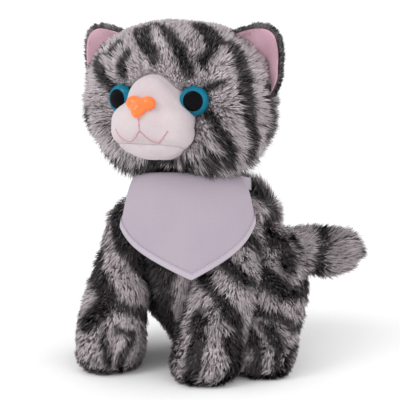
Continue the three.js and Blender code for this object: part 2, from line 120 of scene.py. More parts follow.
HIND_LEG_STROKES = [
    (3.4, [(20, 53), (46, 42), (84, 44), (112, 38)]),
    (2.8, [(-8, 38), (28, 33), (60, 26), (98, 28)]),
    (2.6, [(98, 18), (72, 12), (86, 5)]),
    (3.6, [(-30, 28), (0, 25), (10, 18), (6, 9), (-12, 6)]),
    (3.0, [(24, 27), (40, 19), (46, 8)]),
    (2.4, [(-30, 3), (20, 2.5), (70, 4)]),
    (3.8, [(40, 68), (52, 62), (50, 54)]),
    (3.4, [(80, 64), (100, 56), (96, 48)]),
    (4.0, [(150, 46), (180, 40), (-150, 32)]),
    (3.6, [(120, 22), (165, 15), (-150, 12)]),
]
# On the torso too, all round.
TORSO_STROKES = [
    (6.0, [(96, 90), (104, 82), (112, 74)]),
    (5.0, [(70, 78), (90, 70), (104, 62)]),
    (4.6, [(126, 66), (140, 56), (150, 44)]),
    (5.0, [(110, 58), (122, 46), (128, 36)]),
    (5.0, [(-96, 88), (-108, 78), (-118, 70)]),
    (5.0, [(-124, 62), (-138, 52), (-148, 40)]),
    (6.0, [(150, 94), (180, 84), (-150, 92)]),
    (5.4, [(156, 78), (180, 66), (-156, 76)]),
    # This wide dark stroke down the front is painted shade between the forelegs, where they shadow the
    # chest.
    (8.0, [(-4, 62), (-8, 44), (-14, 26), (-18, 8)]),
    (4.0, [(-30, 60), (-22, 44), (-28, 32)]),
    (4.0, [(34, 58), (28, 46), (36, 34)]),
]
# On the tail they are rings: (middle, half width), as shares of its length.
TAIL_BANDS = [(0.05, 0.06), (0.24, 0.030), (0.50, 0.035), (0.73, 0.045), (1.10, 0.075)]


# ---------------------------------------------------------------- small tools
def clamp(value):
    return min(1, max(0, value))


def ease(share):
    """Goes from 0 to 1 with a soft start and a soft end."""
    share = clamp(share)
    return share * share * (3 - 2 * share)


def smoothstep(low, high, value):
    """The same for arrays, as a value goes from low to high."""
    share = np.clip((value - low) / (high - low), 0, 1)
    return share * share * (3 - 2 * share)


def along(points, share):
    """The place at a share of the way along a line of points."""
    place = share * (len(points) - 1)
    step = min(int(place), len(points) - 2)
    return points[step].lerp(points[step + 1], place - step)


def hashed(cell, seed):
    """A number from -1 to 1 for each whole-number cell."""
    mixed = (cell[:, 0] * 73856093) ^ (cell[:, 1] * 19349663) ^ (cell[:, 2] * 83492791) ^ (seed * 2654435)
    mixed = (mixed ^ (mixed >> 13)) & 0xFFFFFF
    mixed = (mixed * 1274126 + 12345) & 0xFFFFFFFF
    return ((mixed >> 8) & 0xFFFF) / 32767.5 - 1


def noise(points, size, seed):
    """Smooth noise from -1 to 1 over points, with features of that size in metres."""
    scaled = points / size + 31.7
    cell = np.floor(scaled).astype(np.int64)
    part = scaled - cell
    part = part * part * (3 - 2 * part)
    total = np.zeros(len(points))
    for corner in range(8):
        offset = np.array([(corner >> k) & 1 for k in range(3)])
        weight = np.prod(np.where(offset == 1, part, 1 - part), axis=1)
        total += hashed(cell + offset, seed) * weight
    return total


def noise_vector(points, size, seed):
    return np.stack([noise(points, size, seed + k) for k in range(3)], axis=1)


def unit(vectors):
    return vectors / np.maximum(np.linalg.norm(vectors, axis=1, keepdims=True), 1e-9)


def new_object(name, mesh):
    piece = bpy.data.objects.new(name, mesh)
    bpy.context.scene.collection.objects.link(piece)
    return piece


def mesh_object(name, points, faces):
    mesh = bpy.data.meshes.new(name)
    mesh.from_pydata([tuple(p) for p in points], [], faces)
    mesh.update()
    mesh.shade_smooth()
    return new_object(name, mesh)


def closed_object(name, points, faces):
    """A closed form with all its faces turned outwards."""
    piece = mesh_object(name, points, faces)
    shell = bmesh.new()
    shell.from_mesh(piece.data)
    bmesh.ops.recalc_face_normals(shell, faces=shell.faces)
    shell.to_mesh(piece.data)
    shell.free()
    return piece


def shell_object(name, shell):
    """A piece from a finished bmesh."""
    mesh = bpy.data.meshes.new(name)
    shell.to_mesh(mesh)
    shell.free()
    mesh.shade_smooth()
    return new_object(name, mesh)


def coordinates(mesh):
    return np.array([v.co for v in mesh.vertices])


def point_normals(mesh):
    return np.array([v.normal for v in mesh.vertices])


def move_points(mesh, points):
    mesh.vertices.foreach_set("co", points.astype(np.float32).ravel())
    mesh.update()


def ring_faces(rings, sides):
    """Quads between rings of points."""
    faces = []
    for ring in range(rings - 1):
        for side in range(sides):
            a, b = ring * sides + side, ring * sides + (side + 1) % sides
            faces.append((a, b, b + sides, a + sides))
    return faces


def sheet_faces(lines, steps):
    """Quads of a thin closed sheet: two layers of lines of points, joined along their edge."""
    wide, layer = steps + 1, (lines + 1) * (steps + 1)
    faces = []
    for line in range(lines):
        for step in range(steps):
            a = line * wide + step
            b = a + layer
            faces.append((a, a + 1, a + 1 + wide, a + wide))
            faces.append((b, b + wide, b + 1 + wide, b + 1))
    edge = list(range(wide))
    edge += [line * wide + steps for line in range(1, lines + 1)]
    edge += [lines * wide + step for step in range(steps - 1, -1, -1)]
    edge += [line * wide for line in range(lines - 1, 0, -1)]
    for here, there in zip(edge, edge[1:] + edge[:1]):
        faces.append((here, here + layer, there + layer, there))
    return faces


def lay_flat(piece, flat):
    """Gives a cloth its flat lengths, one pair for each point, as its UVs."""
    uv = piece.data.uv_layers.new(name="cloth")
    for loop in piece.data.loops:
        uv.data[loop.index].uv = flat[loop.vertex_index]


def upright(middle, half):
    """A short upright line through a place."""
    return [middle - Vector((0, 0, half)), middle + Vector((0, 0, half))]


def place(piece, materials, body, slot, *nodes):
    """The piece gets its materials, rides on a body and stands for CAD nodes, which it hides. The slot is
    not used.
    """
    for material in materials:
        piece.data.materials.append(material)
    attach(piece, body)
    if nodes:
        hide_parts(*nodes)


def box_of(node):
    """A CAD node's lowest and highest corner."""
    low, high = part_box(node)
    return Vector(low), Vector(high)


def box_middle(node):
    low, high = box_of(node)
    return (low + high) / 2


def tree_of(*nodes):
    """A search tree over CAD nodes."""
    points, faces = [], []
    for node in nodes:
        mesh = frame["nodes"][node].data
        first = len(points)
        points += [v.co.copy() for v in mesh.vertices]
        faces += [[first + i for i in face.vertices] for face in mesh.polygons]
    return BVHTree.FromPolygons(points, faces)


def is_inside(tree, point):
    spot, normal, _, _ = tree.find_nearest(point)
    return (point - spot).dot(normal) < 0


def tree_of_piece(piece):
    """A search tree over a piece of the visual model."""
    mesh = piece.data
    faces = [list(face.vertices) for face in mesh.polygons]
    return BVHTree.FromPolygons([v.co for v in mesh.vertices], faces)


# ---------------------------------------------------------------- materials
def new_material(name, values):
    """A material whose shader has these plain values, and its node tree."""
    material = bpy.data.materials.new(name)
    material.use_nodes = True
    tree = material.node_tree
    for socket, value in values.items():
        tree.nodes["Principled BSDF"].inputs[socket].default_value = value
    return material, tree


def into_shader(tree, output, socket):
    tree.links.new(output, tree.nodes["Principled BSDF"].inputs[socket])


def grain(tree, scale, detail, roughness=0.5):
    """Noise that keeps its real size, because it is laid out in the piece's own metres."""
    texture = tree.nodes.new("ShaderNodeTexNoise")
    texture.inputs["Scale"].default_value = scale
    texture.inputs["Detail"].default_value = detail
    texture.inputs["Roughness"].default_value = roughness
    place_in_piece = tree.nodes.new("ShaderNodeTexCoord")
    tree.links.new(place_in_piece.outputs["Object"], texture.inputs["Vector"])
    return texture.outputs["Fac"]


def blend(tree, first, second, share):
    """Mixes two fields, with a share of the second."""
    mix = tree.nodes.new("ShaderNodeMix")
    mix.data_type = "FLOAT"
    mix.inputs["Factor"].default_value = share
    tree.links.new(first, mix.inputs["A"])
    tree.links.new(second, mix.inputs["B"])
    return mix.outputs["Result"]


def colour_by(tree, field, deep, pale, low=0.0, high=1.0):
    """Colours the shader by a field, deep up to low and pale from high on."""
    ramp = tree.nodes.new("ShaderNodeValToRGB")
    for stop, position, colour in zip(ramp.color_ramp.elements, (low, high), (deep, pale)):
        stop.position = position
        stop.color = (*colour, 1)
    tree.links.new(field, ramp.inputs["Fac"])
    into_shader(tree, ramp.outputs["Color"], "Base Color")


def emboss(tree, field, strength, distance):
    """Raises the surface by a field."""
    bump = tree.nodes.new("ShaderNodeBump")
    bump.inputs["Strength"].default_value = strength
    bump.inputs["Distance"].default_value = distance
    tree.links.new(field, bump.inputs["Height"])
    into_shader(tree, bump.outputs["Normal"], "Normal")


def fibre_material(name, colour, paleness):
    """Plush fibre of one shade, soft at its edges; pale fibre glows more at a glancing angle."""
    material, _ = new_material(name, {
        "Base Color": (*colour, 1),
        "Roughness": 0.62,
        "Specular IOR Level": 0.10 + 0.12 * paleness,
        "Sheen Weight": 0.04 + 0.20 * paleness,
        "Sheen Roughness": 0.45,
    })
    return material


def fibre_shades():
    shades = []
    for step in range(TONES):
        share = (step / (TONES - 1)) ** 1.25
        colour = [dark + (pale - dark) * share for dark, pale in zip(DARKEST, PALEST)]
        shades.append(fibre_material(f"fibre_{step}", colour, share))
    return shades


def cloth_under_pile():
    """The dyed backing cloth: the stripes printed on it, broken up by the roots of the pile."""
    material, tree = new_material("backing_cloth", {"Roughness": 0.95})
    printed = tree.nodes.new("ShaderNodeAttribute")
    printed.attribute_name = "stripe"
    roots = grain(tree, 900, 4)
    colour_by(tree, blend(tree, printed.outputs["Fac"], roots, 0.25), DARKEST, (0.30, 0.27, 0.285))
    emboss(tree, roots, 0.6, 0.6 * MM)
    return material


def nap_material(name, pale, deep, nap, patch):
    """Short velour: a fine nap, slow shading where it is brushed, and a soft sheen."""
    material, tree = new_material(name, {"Roughness": 0.85, "Sheen Weight": 0.35, "Sheen Roughness": 0.4})
    slow = grain(tree, patch, 3)
    fine = grain(tree, nap, 5, 0.7)
    colour_by(tree, blend(tree, slow, fine, 0.45), deep, pale, 0.30, 0.66)
    emboss(tree, fine, 0.35, 0.35 * MM)
    return material


def weave_material(name, pale, deep, threads):
    """Plain weave: warp and weft waves in the cloth's own flat coordinates."""
    material, tree = new_material(name, {"Roughness": 0.72, "Sheen Weight": 0.2})
    flat = tree.nodes.new("ShaderNodeUVMap")
    flat.uv_map = "cloth"
    height = tree.nodes.new("ShaderNodeMath")
    height.operation = "MAXIMUM"
    for index, direction in enumerate(("X", "Y")):
        wave = tree.nodes.new("ShaderNodeTexWave")
        wave.bands_direction = direction
        wave.inputs["Scale"].default_value = threads
        wave.inputs["Distortion"].default_value = 0.6
        wave.inputs["Detail"].default_value = 1
        tree.links.new(flat.outputs["UV"], wave.inputs["Vector"])
        tree.links.new(wave.outputs["Fac"], height.inputs[index])
    woven = height.outputs["Value"]
    colour_by(tree, blend(tree, woven, grain(tree, 45, 3), 0.5), deep, pale, 0.2, 0.8)
    emboss(tree, woven, 0.25, 0.2 * MM)
    return material


def moulded_material(name, pale, deep, roughness, coat=0.0, mirror=0.5):
    """Moulded plastic: nearly even colour, faint flow marks and fine handling wear."""
    values = {"Specular IOR Level": mirror, "Coat Weight": coat, "Coat Roughness": 0.05}
    material, tree = new_material(name, values)
    flow = grain(tree, 160, 4)
    colour_by(tree, flow, deep, pale, 0.35, 0.62)
    wear = tree.nodes.new("ShaderNodeMapRange")
    wear.inputs["To Min"].default_value = roughness
    wear.inputs["To Max"].default_value = roughness + 0.1
    tree.links.new(flow, wear.inputs["Value"])
    into_shader(tree, wear.outputs["Result"], "Roughness")
    return material


FIBRES = fibre_shades()
BACKING = cloth_under_pile()
VELOUR = nap_material("pale_velour", (0.60, 0.525, 0.545), (0.50, 0.42, 0.445), 1400, 70)
EAR_VELOUR = nap_material("pink_velour", (0.66, 0.42, 0.495), (0.52, 0.30, 0.375), 1100, 60)
CALICO = nap_material("calico", (0.62, 0.57, 0.49), (0.48, 0.43, 0.36), 900, 50)
BANDANA = weave_material("bandana_weave", (0.40, 0.345, 0.405), (0.335, 0.285, 0.345), 520)
# The turned hem is the bandana's own cloth, painted paler as a highlight along the hem; its stitches share
# this material.
HEM_PAINTED_LIGHT = weave_material("hem_weave_painted_light", (0.47, 0.415, 0.475), (0.40, 0.35, 0.41), 520)
TAPE = weave_material("woven_tape", (0.80, 0.79, 0.78), (0.70, 0.69, 0.68), 700)
NOSE = moulded_material("nose_plastic", (1.0, 0.19, 0.018), (0.93, 0.155, 0.013), 0.30, 0.35)
IRIS = moulded_material("iris_plastic", (0.0, 0.175, 0.27), (0.0, 0.11, 0.18), 0.22, 0.12, 0.14)
PUPIL = moulded_material("pupil_plastic", (0.003, 0.003, 0.004), (0.001, 0.001, 0.002), 0.22, 0.0, 0.06)
NYLON = moulded_material("washer_nylon", (0.80, 0.79, 0.76), (0.72, 0.71, 0.68), 0.40)
FLOSS = nap_material("embroidery_floss", (0.58, 0.30, 0.34), (0.46, 0.21, 0.25), 2400, 200)
SEAM_THREAD = nap_material("seam_thread", (0.24, 0.22, 0.23), (0.14, 0.13, 0.135), 2400, 200)
HOOK_TAPE = nap_material("hook_tape", (0.74, 0.72, 0.74), (0.55, 0.53, 0.56), 2600, 300)


# ---------------------------------------------------------------- forms from the frame
PAST_SURFACE = 0.02 * MM  # a ray goes on this far beyond a surface that it has met
FILL_ROUNDS = 160


def outermost(tree, origin, direction, reach):
    """How far out a ray last meets the CAD surface, or NaN where it never does."""
    start, gone, found = origin, 0.0, math.nan
    while True:
        spot, _, _, distance = tree.ray_cast(start, direction, reach - gone)
        if spot is None:
            return found
        found = gone + distance
        gone = found + PAST_SURFACE
        start = origin + direction * gone


def around(field):
    """The mean of each place's neighbours in a ring-by-side field, whose sides meet."""
    padded = np.vstack([field[:1], field, field[-1:]])
    return (padded[:-2] + padded[2:] + np.roll(field, 1, 1) + np.roll(field, -1, 1)) / 4


def fill_gaps(field):
    """Fills the missing distances of a field from their neighbours."""
    known = ~np.isnan(field)
    filled = np.where(known, field, np.nanmean(field))
    for _ in range(FILL_ROUNDS):
        filled = np.where(known, field, around(filled))
    return filled


def soften(field, times):
    for _ in range(times):
        field = (field + around(field)) / 2
    return field


def wrap(nodes, line, inset, sides=64, rings=46, cap=0.26, soft=6, reach=0.09):
    """A closed smooth form just inside CAD nodes' outer surface: rays leave the line level, and fan
    out round its two ends, in a share cap of the rings each. Returns its points and faces."""
    tree = tree_of(*nodes)
    field = np.empty((rings, sides))
    rays = []
    for ring in range(rings):
        share = (ring + 0.5) / rings
        tilt = 0.0
        if share < cap:
            tilt = -(1 - share / cap) * math.pi / 2
        if share > 1 - cap:
            tilt = (1 - (1 - share) / cap) * math.pi / 2
        at = clamp((share - cap) / (1 - 2 * cap))
        origin = along(line, at)
        tangent = (along(line, min(at + 0.02, 1)) - along(line, max(at - 0.02, 0))).normalized()
        front = (FRONT - tangent * tangent.dot(FRONT)).normalized()
        across = tangent.cross(front)
        for side in range(sides):
            turn = 2 * math.pi * side / sides
            level = front * math.cos(turn) + across * math.sin(turn)
            direction = (level * math.cos(tilt) + tangent * math.sin(tilt)).normalized()
            field[ring, side] = outermost(tree, origin, direction, reach)
            rays.append((origin, direction))
    field = soften(fill_gaps(field), soft) - inset
    points = [origin + direction * far for (origin, direction), far in zip(rays, field.ravel())]
    faces = ring_faces(rings, sides)
    points += [sum(end, Vector()) / sides for end in (points[:sides], points[-sides:])]
    top = (rings - 1) * sides
    for side in range(sides):
        after = (side + 1) % sides
        faces.append((len(points) - 2, after, side))
        faces.append((len(points) - 1, top + side, top + after))
    return points, faces


def lean(piece, strength, size, seed):
    """Small swells and hollows of loose stuffing."""
    points = coordinates(piece.data)
    swell = strength * noise(points, size, seed)
    move_points(piece.data, points + point_normals(piece.data) * swell[:, None])


def print_stripes(piece, shades):
    """Gives each point of a cloth the shade that the backing cloth's material shows."""
    attribute = piece.data.attributes.new("stripe", "FLOAT", "POINT")
    attribute.data.foreach_set("value", shades.astype(np.float32))


def base_skin(name, nodes, line, body, stripes, fill, inset=BASE_INSET, press=None, **shape):
    """The stuffed cloth under the pile, with its stripes printed on it."""
    points, faces = wrap(nodes, line, inset, **shape)
    if press is not None:
        points = [press(point) for point in points]
    piece = closed_object(name, points, faces)
    lean(piece, strength=0.7 * MM, size=17 * MM, seed=5)
    print_stripes(piece, 1 - stripes(coordinates(piece.data)))
    place(piece, [BACKING], body, "tabby_fur", *nodes)
    return piece


# ---------------------------------------------------------------- stripes
# A stroke fades over this much on both sides of its edge: mm, degrees on the head, shares of the tail.
STROKE_EDGE, HEAD_EDGE, TAIL_EDGE = 1.5, 1.6, 0.015
HEAD_DEEP = 27 * MM  # from the front of the head to the middle that its stripes are measured from
BEYOND_TIP = 100 * MM  # a place this far beyond the tail's tip is one more tail's length along


def runs(strokes):
    """Each straight run of the strokes: its half width and its two ends."""
    for half, route in strokes:
        for start, end in zip(route[:-1], route[1:]):
            yield half, start, end


def run_gap(px, py, dx, dy):
    """How far places (px, py) lie from the run between the origin and (dx, dy)."""
    share = np.clip((px * dx + py * dy) / max(dx * dx + dy * dy, 1e-9), 0, 1)
    return np.hypot(px - share * dx, py - share * dy)


def stroke_cover(across, up, strokes, round_scale):
    """0 on plain ground and 1 inside a stroke. across is degrees, round_scale its length per degree."""
    cover = np.zeros(len(across))
    for half, (a0, u0), (a1, u1) in runs(strokes):
        turn = (a1 - a0 + 180) % 360 - 180
        middle = a0 + turn / 2
        near = (across - middle + 180) % 360 - 180 + turn / 2
        gap = run_gap(near * round_scale, up - u0, turn * round_scale, u1 - u0)
        cover = np.maximum(cover, 1 - smoothstep(half - STROKE_EDGE, half + STROKE_EDGE, gap))
    return cover


def unsteady(points, *waves):
    """Points moved about a little, so that a stroke's edge wanders. A wave is (size, reach, seed)."""
    moved = points
    for size, reach, seed in waves:
        moved = moved + noise_vector(points, size * MM, seed) * reach * MM
    return moved


def round_height(points, line):
    """(azimuth in degrees, height in millimetres) of points round a line."""
    low, high = line[0], line[-1]
    share = np.clip((points[:, 2] - low.z) / max(high.z - low.z, 1e-6), -0.2, 1.2)
    middle_x = low.x + (high.x - low.x) * share
    middle_y = low.y + (high.y - low.y) * share
    return np.degrees(np.arctan2(points[:, 0] - middle_x, middle_y - points[:, 1])), points[:, 2] / MM


def limb_stripes(line, strokes, radius, mirrored=False):
    """Stripes of a leg or the torso, as a function of points."""
    def cover(points):
        azimuth, height = round_height(unsteady(points, (9, 1.6, 11), (3.5, 0.9, 14)), line)
        if mirrored:
            azimuth = -azimuth
        return stroke_cover(azimuth, height, strokes, math.radians(1) * radius / MM)
    return cover


def head_angles(points):
    """Azimuth and height of points, in degrees, as seen from the middle of the head."""
    low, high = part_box("head_skin")
    middle = np.array([(low[0] + high[0]) / 2, HEAD_MIDDLE.y, HEAD_MIDDLE.z])
    half = np.array([(high[0] - low[0]) / 2, HEAD_DEEP, high[2] - HEAD_MIDDLE.z])
    away = unsteady(points, (10, 1.4, 21), (4, 0.8, 24)) - middle
    away[:, 1] = np.where(away[:, 1] > 0, away[:, 1] * half[1] / (high[1] - HEAD_MIDDLE.y), away[:, 1])
    away = unit(away / half)
    azimuth = np.degrees(np.arctan2(away[:, 0], -away[:, 1]))
    return azimuth, np.degrees(np.arcsin(np.clip(away[:, 2], -1, 1)))


def head_stripes(points):
    """The face's strokes, and bands right across the back of the head."""
    azimuth, height = head_angles(points)
    shrink = np.cos(np.radians(height))
    cover = np.zeros(len(points))
    for half, (a0, u0), (a1, u1) in runs(HEAD_STROKES):
        middle_cos = math.cos(math.radians((u0 + u1) / 2))
        near = (azimuth - a0) * (shrink + middle_cos) / 2
        gap = run_gap(near, height - u0, (a1 - a0) * middle_cos, u1 - u0)
        cover = np.maximum(cover, 1 - smoothstep(half - HEAD_EDGE, half + HEAD_EDGE, gap))
    wander = 130 * noise(points, 22 * MM, 27) + 60 * noise(points, 9 * MM, 29)
    bands = np.sin(np.radians(height * 8.5 + 0.9 * np.abs(azimuth) + wander))
    behind = smoothstep(96, 112, np.abs(azimuth))
    return np.maximum(cover, behind * smoothstep(0.10, 0.45, bands))


def tail_share(points, line):
    """How far along the tail's line each point lies, from 0 at the root to 1 at the tip."""
    best = np.full(len(points), np.inf)
    share = np.zeros(len(points))
    count = len(line) - 1
    for step in range(count):
        start, end = np.array(line[step]), np.array(line[step + 1])
        run = end - start
        at = np.clip((points - start) @ run / (run @ run), 0, 1)
        gap = np.linalg.norm(points - start - at[:, None] * run, axis=1)
        closer = gap < best
        best = np.where(closer, gap, best)
        share = np.where(closer, (step + at) / count, share)
    beyond = (points - np.array(line[-1])) @ unit(np.array([line[-1] - line[-2]]))[0]
    return share + np.maximum(beyond, 0) / BEYOND_TIP


def tail_stripes(points):
    share = tail_share(unsteady(points, (8, 2.2, 31)), TAIL_LINE)
    cover = np.zeros(len(points))
    for middle, half in TAIL_BANDS:
        gap = np.abs(share - middle)
        cover = np.maximum(cover, 1 - smoothstep(half - TAIL_EDGE, half + TAIL_EDGE, gap))
    return cover


# ---------------------------------------------------------------- the pile
TUFT = 14  # blades that lean together
TUFT_PULL = 0.34  # how far their tips are drawn together
MIDDLE_PULL = 0.35  # how much of that the middles of the blades follow
SHORTEST, LENGTH_SPREAD = 0.72, 0.5  # of the pile's length: the shortest blade, and how much is added
ROOT_WIDE = 0.9  # a blade's width at its root, as a share of its widest
ROOT_PAINTED_SHADE = 0.80  # a blade's tone at its root, as a share of its tip's: painted shade deep in the pile
GROUND_TONE, STRIPE_TONE = 0.80, 0.04  # the tones of the pale ground and of the darkest stripe
STRAYS, STRAY_TONE = 0.10, 0.22  # the share of stray pale blades in a stripe, and how much paler they are


def scatter(piece, per_mm2, seed):
    """Even random places on a mesh, with smooth normals."""
    mesh = piece.data
    mesh.calc_loop_triangles()
    corners = np.array([triangle.vertices[:] for triangle in mesh.loop_triangles])
    points, normals = coordinates(mesh), point_normals(mesh)
    a, b, c = (points[corners[:, k]] for k in range(3))
    area = np.linalg.norm(np.cross(b - a, c - a), axis=1) / 2
    random = np.random.default_rng(seed)
    count = int(area.sum() / MM**2 * per_mm2)
    chosen = random.choice(len(corners), count, p=area / area.sum())
    r1, r2 = np.sqrt(random.random(count)), random.random(count)
    weights = np.stack([1 - r1, r1 * (1 - r2), r1 * r2], axis=1)
    spots = sum(weights[:, k : k + 1] * points[corners[chosen, k]] for k in range(3))
    facing = unit(sum(weights[:, k : k + 1] * normals[corners[chosen, k]] for k in range(3)))
    return spots, facing, random


def gather(spots, tips, random):
    """Draws the tips together into tufts. Returns them and each blade's tuft."""
    count = max(len(spots) // TUFT, 1)
    heads = random.choice(len(spots), count, replace=False)
    tree = KDTree(count)
    for index, head in enumerate(heads):
        tree.insert(spots[head], index)
    tree.balance()
    owner = np.array([tree.find(spot)[1] for spot in spots])
    reach = tips - spots
    meeting = spots[heads][owner] + reach[heads][owner]
    return tips + (meeting - tips) * TUFT_PULL, owner


def grow(spots, facing, way, long, rise, width, seed, random):
    """Blades that bend over from facing to way. Returns their corners, normals and tufts."""
    way = unit(way - facing * np.sum(way * facing, axis=1, keepdims=True))
    sway = noise_vector(spots, 11 * MM, seed + 40) * 0.7 + noise_vector(spots, 4 * MM, seed + 44) * 0.45
    loose = random.normal(0, 0.16, spots.shape)
    # The lower half of a blade stands up more and the upper half follows the comb more.
    first = unit(facing * (rise + 0.25) + way * 0.45 + sway * 0.35 + loose)
    second = unit(facing * (rise - 0.12) + way * 0.85 + sway * 0.6 + loose * 1.3)
    middle = spots + first * (long * 0.5)[:, None]
    free = middle + second * (long * 0.55)[:, None]
    tips, owner = gather(spots, free, random)
    middle = middle + (tips - free) * MIDDLE_PULL
    flat = unit(np.cross(second, facing) + random.normal(0, 0.45, spots.shape))
    half = flat * ((width / 2) * (0.7 + 0.6 * random.random(len(spots)))[:, None])
    root = half * ROOT_WIDE
    corners = np.stack([spots - root, spots + root, middle + half, middle - half, tips], axis=1)
    normals = np.repeat(unit(facing * 0.9 + second * 0.25), corners.shape[1], axis=0)
    normals = unit(normals + np.repeat(loose, corners.shape[1], axis=0) * 0.7)
    return corners, normals, owner


def blade_tones(spots, dark, owner, seed, random):
    """Each blade's tone: near 0 in a stripe, near 0.8 on the pale ground."""
    count = len(spots)
    tuft_tone = random.normal(0, 0.05, count)[owner]
    cloud = noise(spots, 13 * MM, seed + 60) * 0.09 + noise(spots, 5 * MM, seed + 64) * 0.07
    pale = GROUND_TONE + cloud + tuft_tone + random.normal(0, 0.06, count)
    deep = STRIPE_TONE + 0.09 * random.random(count) + cloud * 0.5
    tone = pale * (1 - dark) + deep * dark
    stray = random.random(count) < STRAYS
    return np.where(stray & (dark > 0.4), tone + STRAY_TONE, tone)


def blade_mesh(name, corners, normals, shades):
    """A mesh of blades. Each has five corners, in a quad at its root and a triangle at its tip."""
    mesh = bpy.data.meshes.new(name)
    first = np.arange(len(corners))[:, None]
    mesh.vertices.add(len(corners) * 5)
    mesh.vertices.foreach_set("co", corners.astype(np.float32).ravel())
    loops = (first * 5 + np.array([0, 1, 2, 3, 3, 2, 4])).ravel()
    mesh.loops.add(len(loops))
    mesh.loops.foreach_set("vertex_index", loops.astype(np.int32))
    mesh.polygons.add(len(corners) * 2)
    mesh.polygons.foreach_set("loop_start", (first * 7 + np.array([0, 4])).ravel().astype(np.int32))
    mesh.polygons.foreach_set("material_index", shades.ravel().astype(np.int32))
    mesh.update(calc_edges=True)
    mesh.shade_smooth()
    mesh.normals_split_custom_set_from_vertices(normals.astype(np.float32))
    return mesh


def pile(name, piece, body, per_mm2, length, comb, stripes, seed, keep=None, rise=0.72, width=PILE_WIDTH):
    """A piece's pile: thousands of fine blades, combed, tufted and shaded by the stripes.
    length gives millimetres and comb a direction, each as a function of places and normals."""
    spots, facing, random = scatter(piece, per_mm2, seed)
    if keep is not None:
        kept = keep(spots, facing)
        spots, facing = spots[kept], facing[kept]
    long = length(spots, facing) * MM * (SHORTEST + LENGTH_SPREAD * random.random(len(spots)))
    corners, normals, owner = grow(spots, facing, comb(spots, facing), long, rise, width, seed, random)
    corners[:, :, 2] = np.maximum(corners[:, :, 2], FLOOR_GAP)
    tone = blade_tones(spots, stripes(spots), owner, seed, random) * (TONES - 1)
    # Each root is painted darker than its tip, as painted shade deep in the pile.
    root_and_tip = np.stack([tone * ROOT_PAINTED_SHADE - 0.2, tone], axis=1)
    shades = np.clip(np.round(root_and_tip), 0, TONES - 1)
    fur = new_object(name, blade_mesh(name, corners, normals, shades))
    place(fur, FIBRES, body, "tabby_fur")


# ---------------------------------------------------------------- camera, light and floor
def aimed(name, data, where):
    """A camera or a lamp that looks at the target."""
    made = new_object(name, data)
    made.location = where
    made.rotation_mode = "QUATERNION"
    made.rotation_quaternion = (TARGET - where).to_track_quat("-Z", "Y")
    return made


def add_camera():
    azimuth, elevation = math.radians(CAMERA["azimuth"]), math.radians(CAMERA["elevation"])
    back = Vector((
        math.sin(azimuth) * math.cos(elevation),
        -math.cos(azimuth) * math.cos(elevation),
        math.sin(elevation),
    ))
    lens = bpy.data.cameras.new("camera")
    lens.lens = CAMERA["lens"]
    lens.sensor_width = 36
    bpy.context.scene.camera = aimed("camera", lens, TARGET + back * CAMERA["distance"])


def add_lights():
    world = bpy.data.worlds.new("studio")
    world.use_nodes = True
    background = world.node_tree.nodes["Background"]
    background.inputs["Color"].default_value = (1, 1, 1, 1)
    background.inputs["Strength"].default_value = SKY
    bpy.context.scene.world = world
    bpy.context.scene.view_settings.view_transform = "Standard"
    for name, where, size, power in LAMPS:
        lamp = bpy.data.lights.new(name, "AREA")
        lamp.shape = "DISK"
        lamp.size = size
        lamp.energy = power
        aimed(name, lamp, Vector(where))


def add_floor():
    """White paper with a faint grain."""
    material, tree = new_material("floor_paper", {"Roughness": 0.9})
    colour_by(tree, grain(tree, 300, 2), (0.95, 0.95, 0.95), (0.98, 0.98, 0.98))
    corners = [(x * FLOOR_REACH, y * FLOOR_REACH, 0) for x, y in ((-1, -1), (1, -1), (1, 1), (-1, 1))]
    floor = mesh_object("floor", corners, [(0, 1, 2, 3)])
    floor.data.materials.append(material)


add_camera()
add_lights()
add_floor()


# ---------------------------------------------------------------- places read from the frame
def sole_middle(node):
    """The middle of a leg's sole."""
    mesh = frame["nodes"][node].data
    low = [v.co for v in mesh.vertices if v.co.z < 0.2 * MM]
    return sum(low, Vector()) / len(low)


NECK_PIVOT = Vector(JOINTS["neck_turn"]["pos_m"])
HEAD_LOW, HEAD_HIGH = box_of("head_skin")
HEAD_MIDDLE = Vector((0, HEAD_LOW.y + HEAD_DEEP, HEAD_HIGH.z - 40.5 * MM))
HEAD_LINE = upright(HEAD_MIDDLE, 3 * MM)
TORSO_LOW, TORSO_HIGH = box_of("torso_skin")
TORSO_MIDDLE = Vector((0, (TORSO_LOW.y + TORSO_HIGH.y) / 2, 0))
TORSO_BENDS = [(8 * MM, 16 * MM), (2 * MM, 50 * MM), (-4 * MM, 74 * MM)]
TORSO_LINE = [TORSO_MIDDLE + Vector((0, back, up)) for back, up in TORSO_BENDS]
TAIL_PIVOT = Vector(JOINTS["tail_swing"]["pos_m"])
TAIL_BENDS = [(0, -1, 0.5), (3, 10, 0), (16, 32, -2), (38, 47, -3), (52, 51, -4)]
TAIL_LINE = [TAIL_PIVOT + Vector(bend) * MM for bend in TAIL_BENDS]


def leg_line(kind, word):
    sole = sole_middle(f"{kind}_{word}_skin")
    return [sole + Vector((0, 0, 15 * MM)), Vector(JOINTS[f"{kind}_{word}_swing"]["pos_m"])]


# ---------------------------------------------------------------- head
HEAD = base_skin("head_cloth", ["head_skin", "head_stuffing"], HEAD_LINE, "head", head_stripes, 0.9,
                 sides=84, rings=60, cap=0.46, soft=8)


# ---------------------------------------------------------------- stuffing by cloth simulation
SIMULATED_AT = 20.0  # small cloth is simulated this many times larger, where the solver is steady
SIMULATED_FRAMES = 20


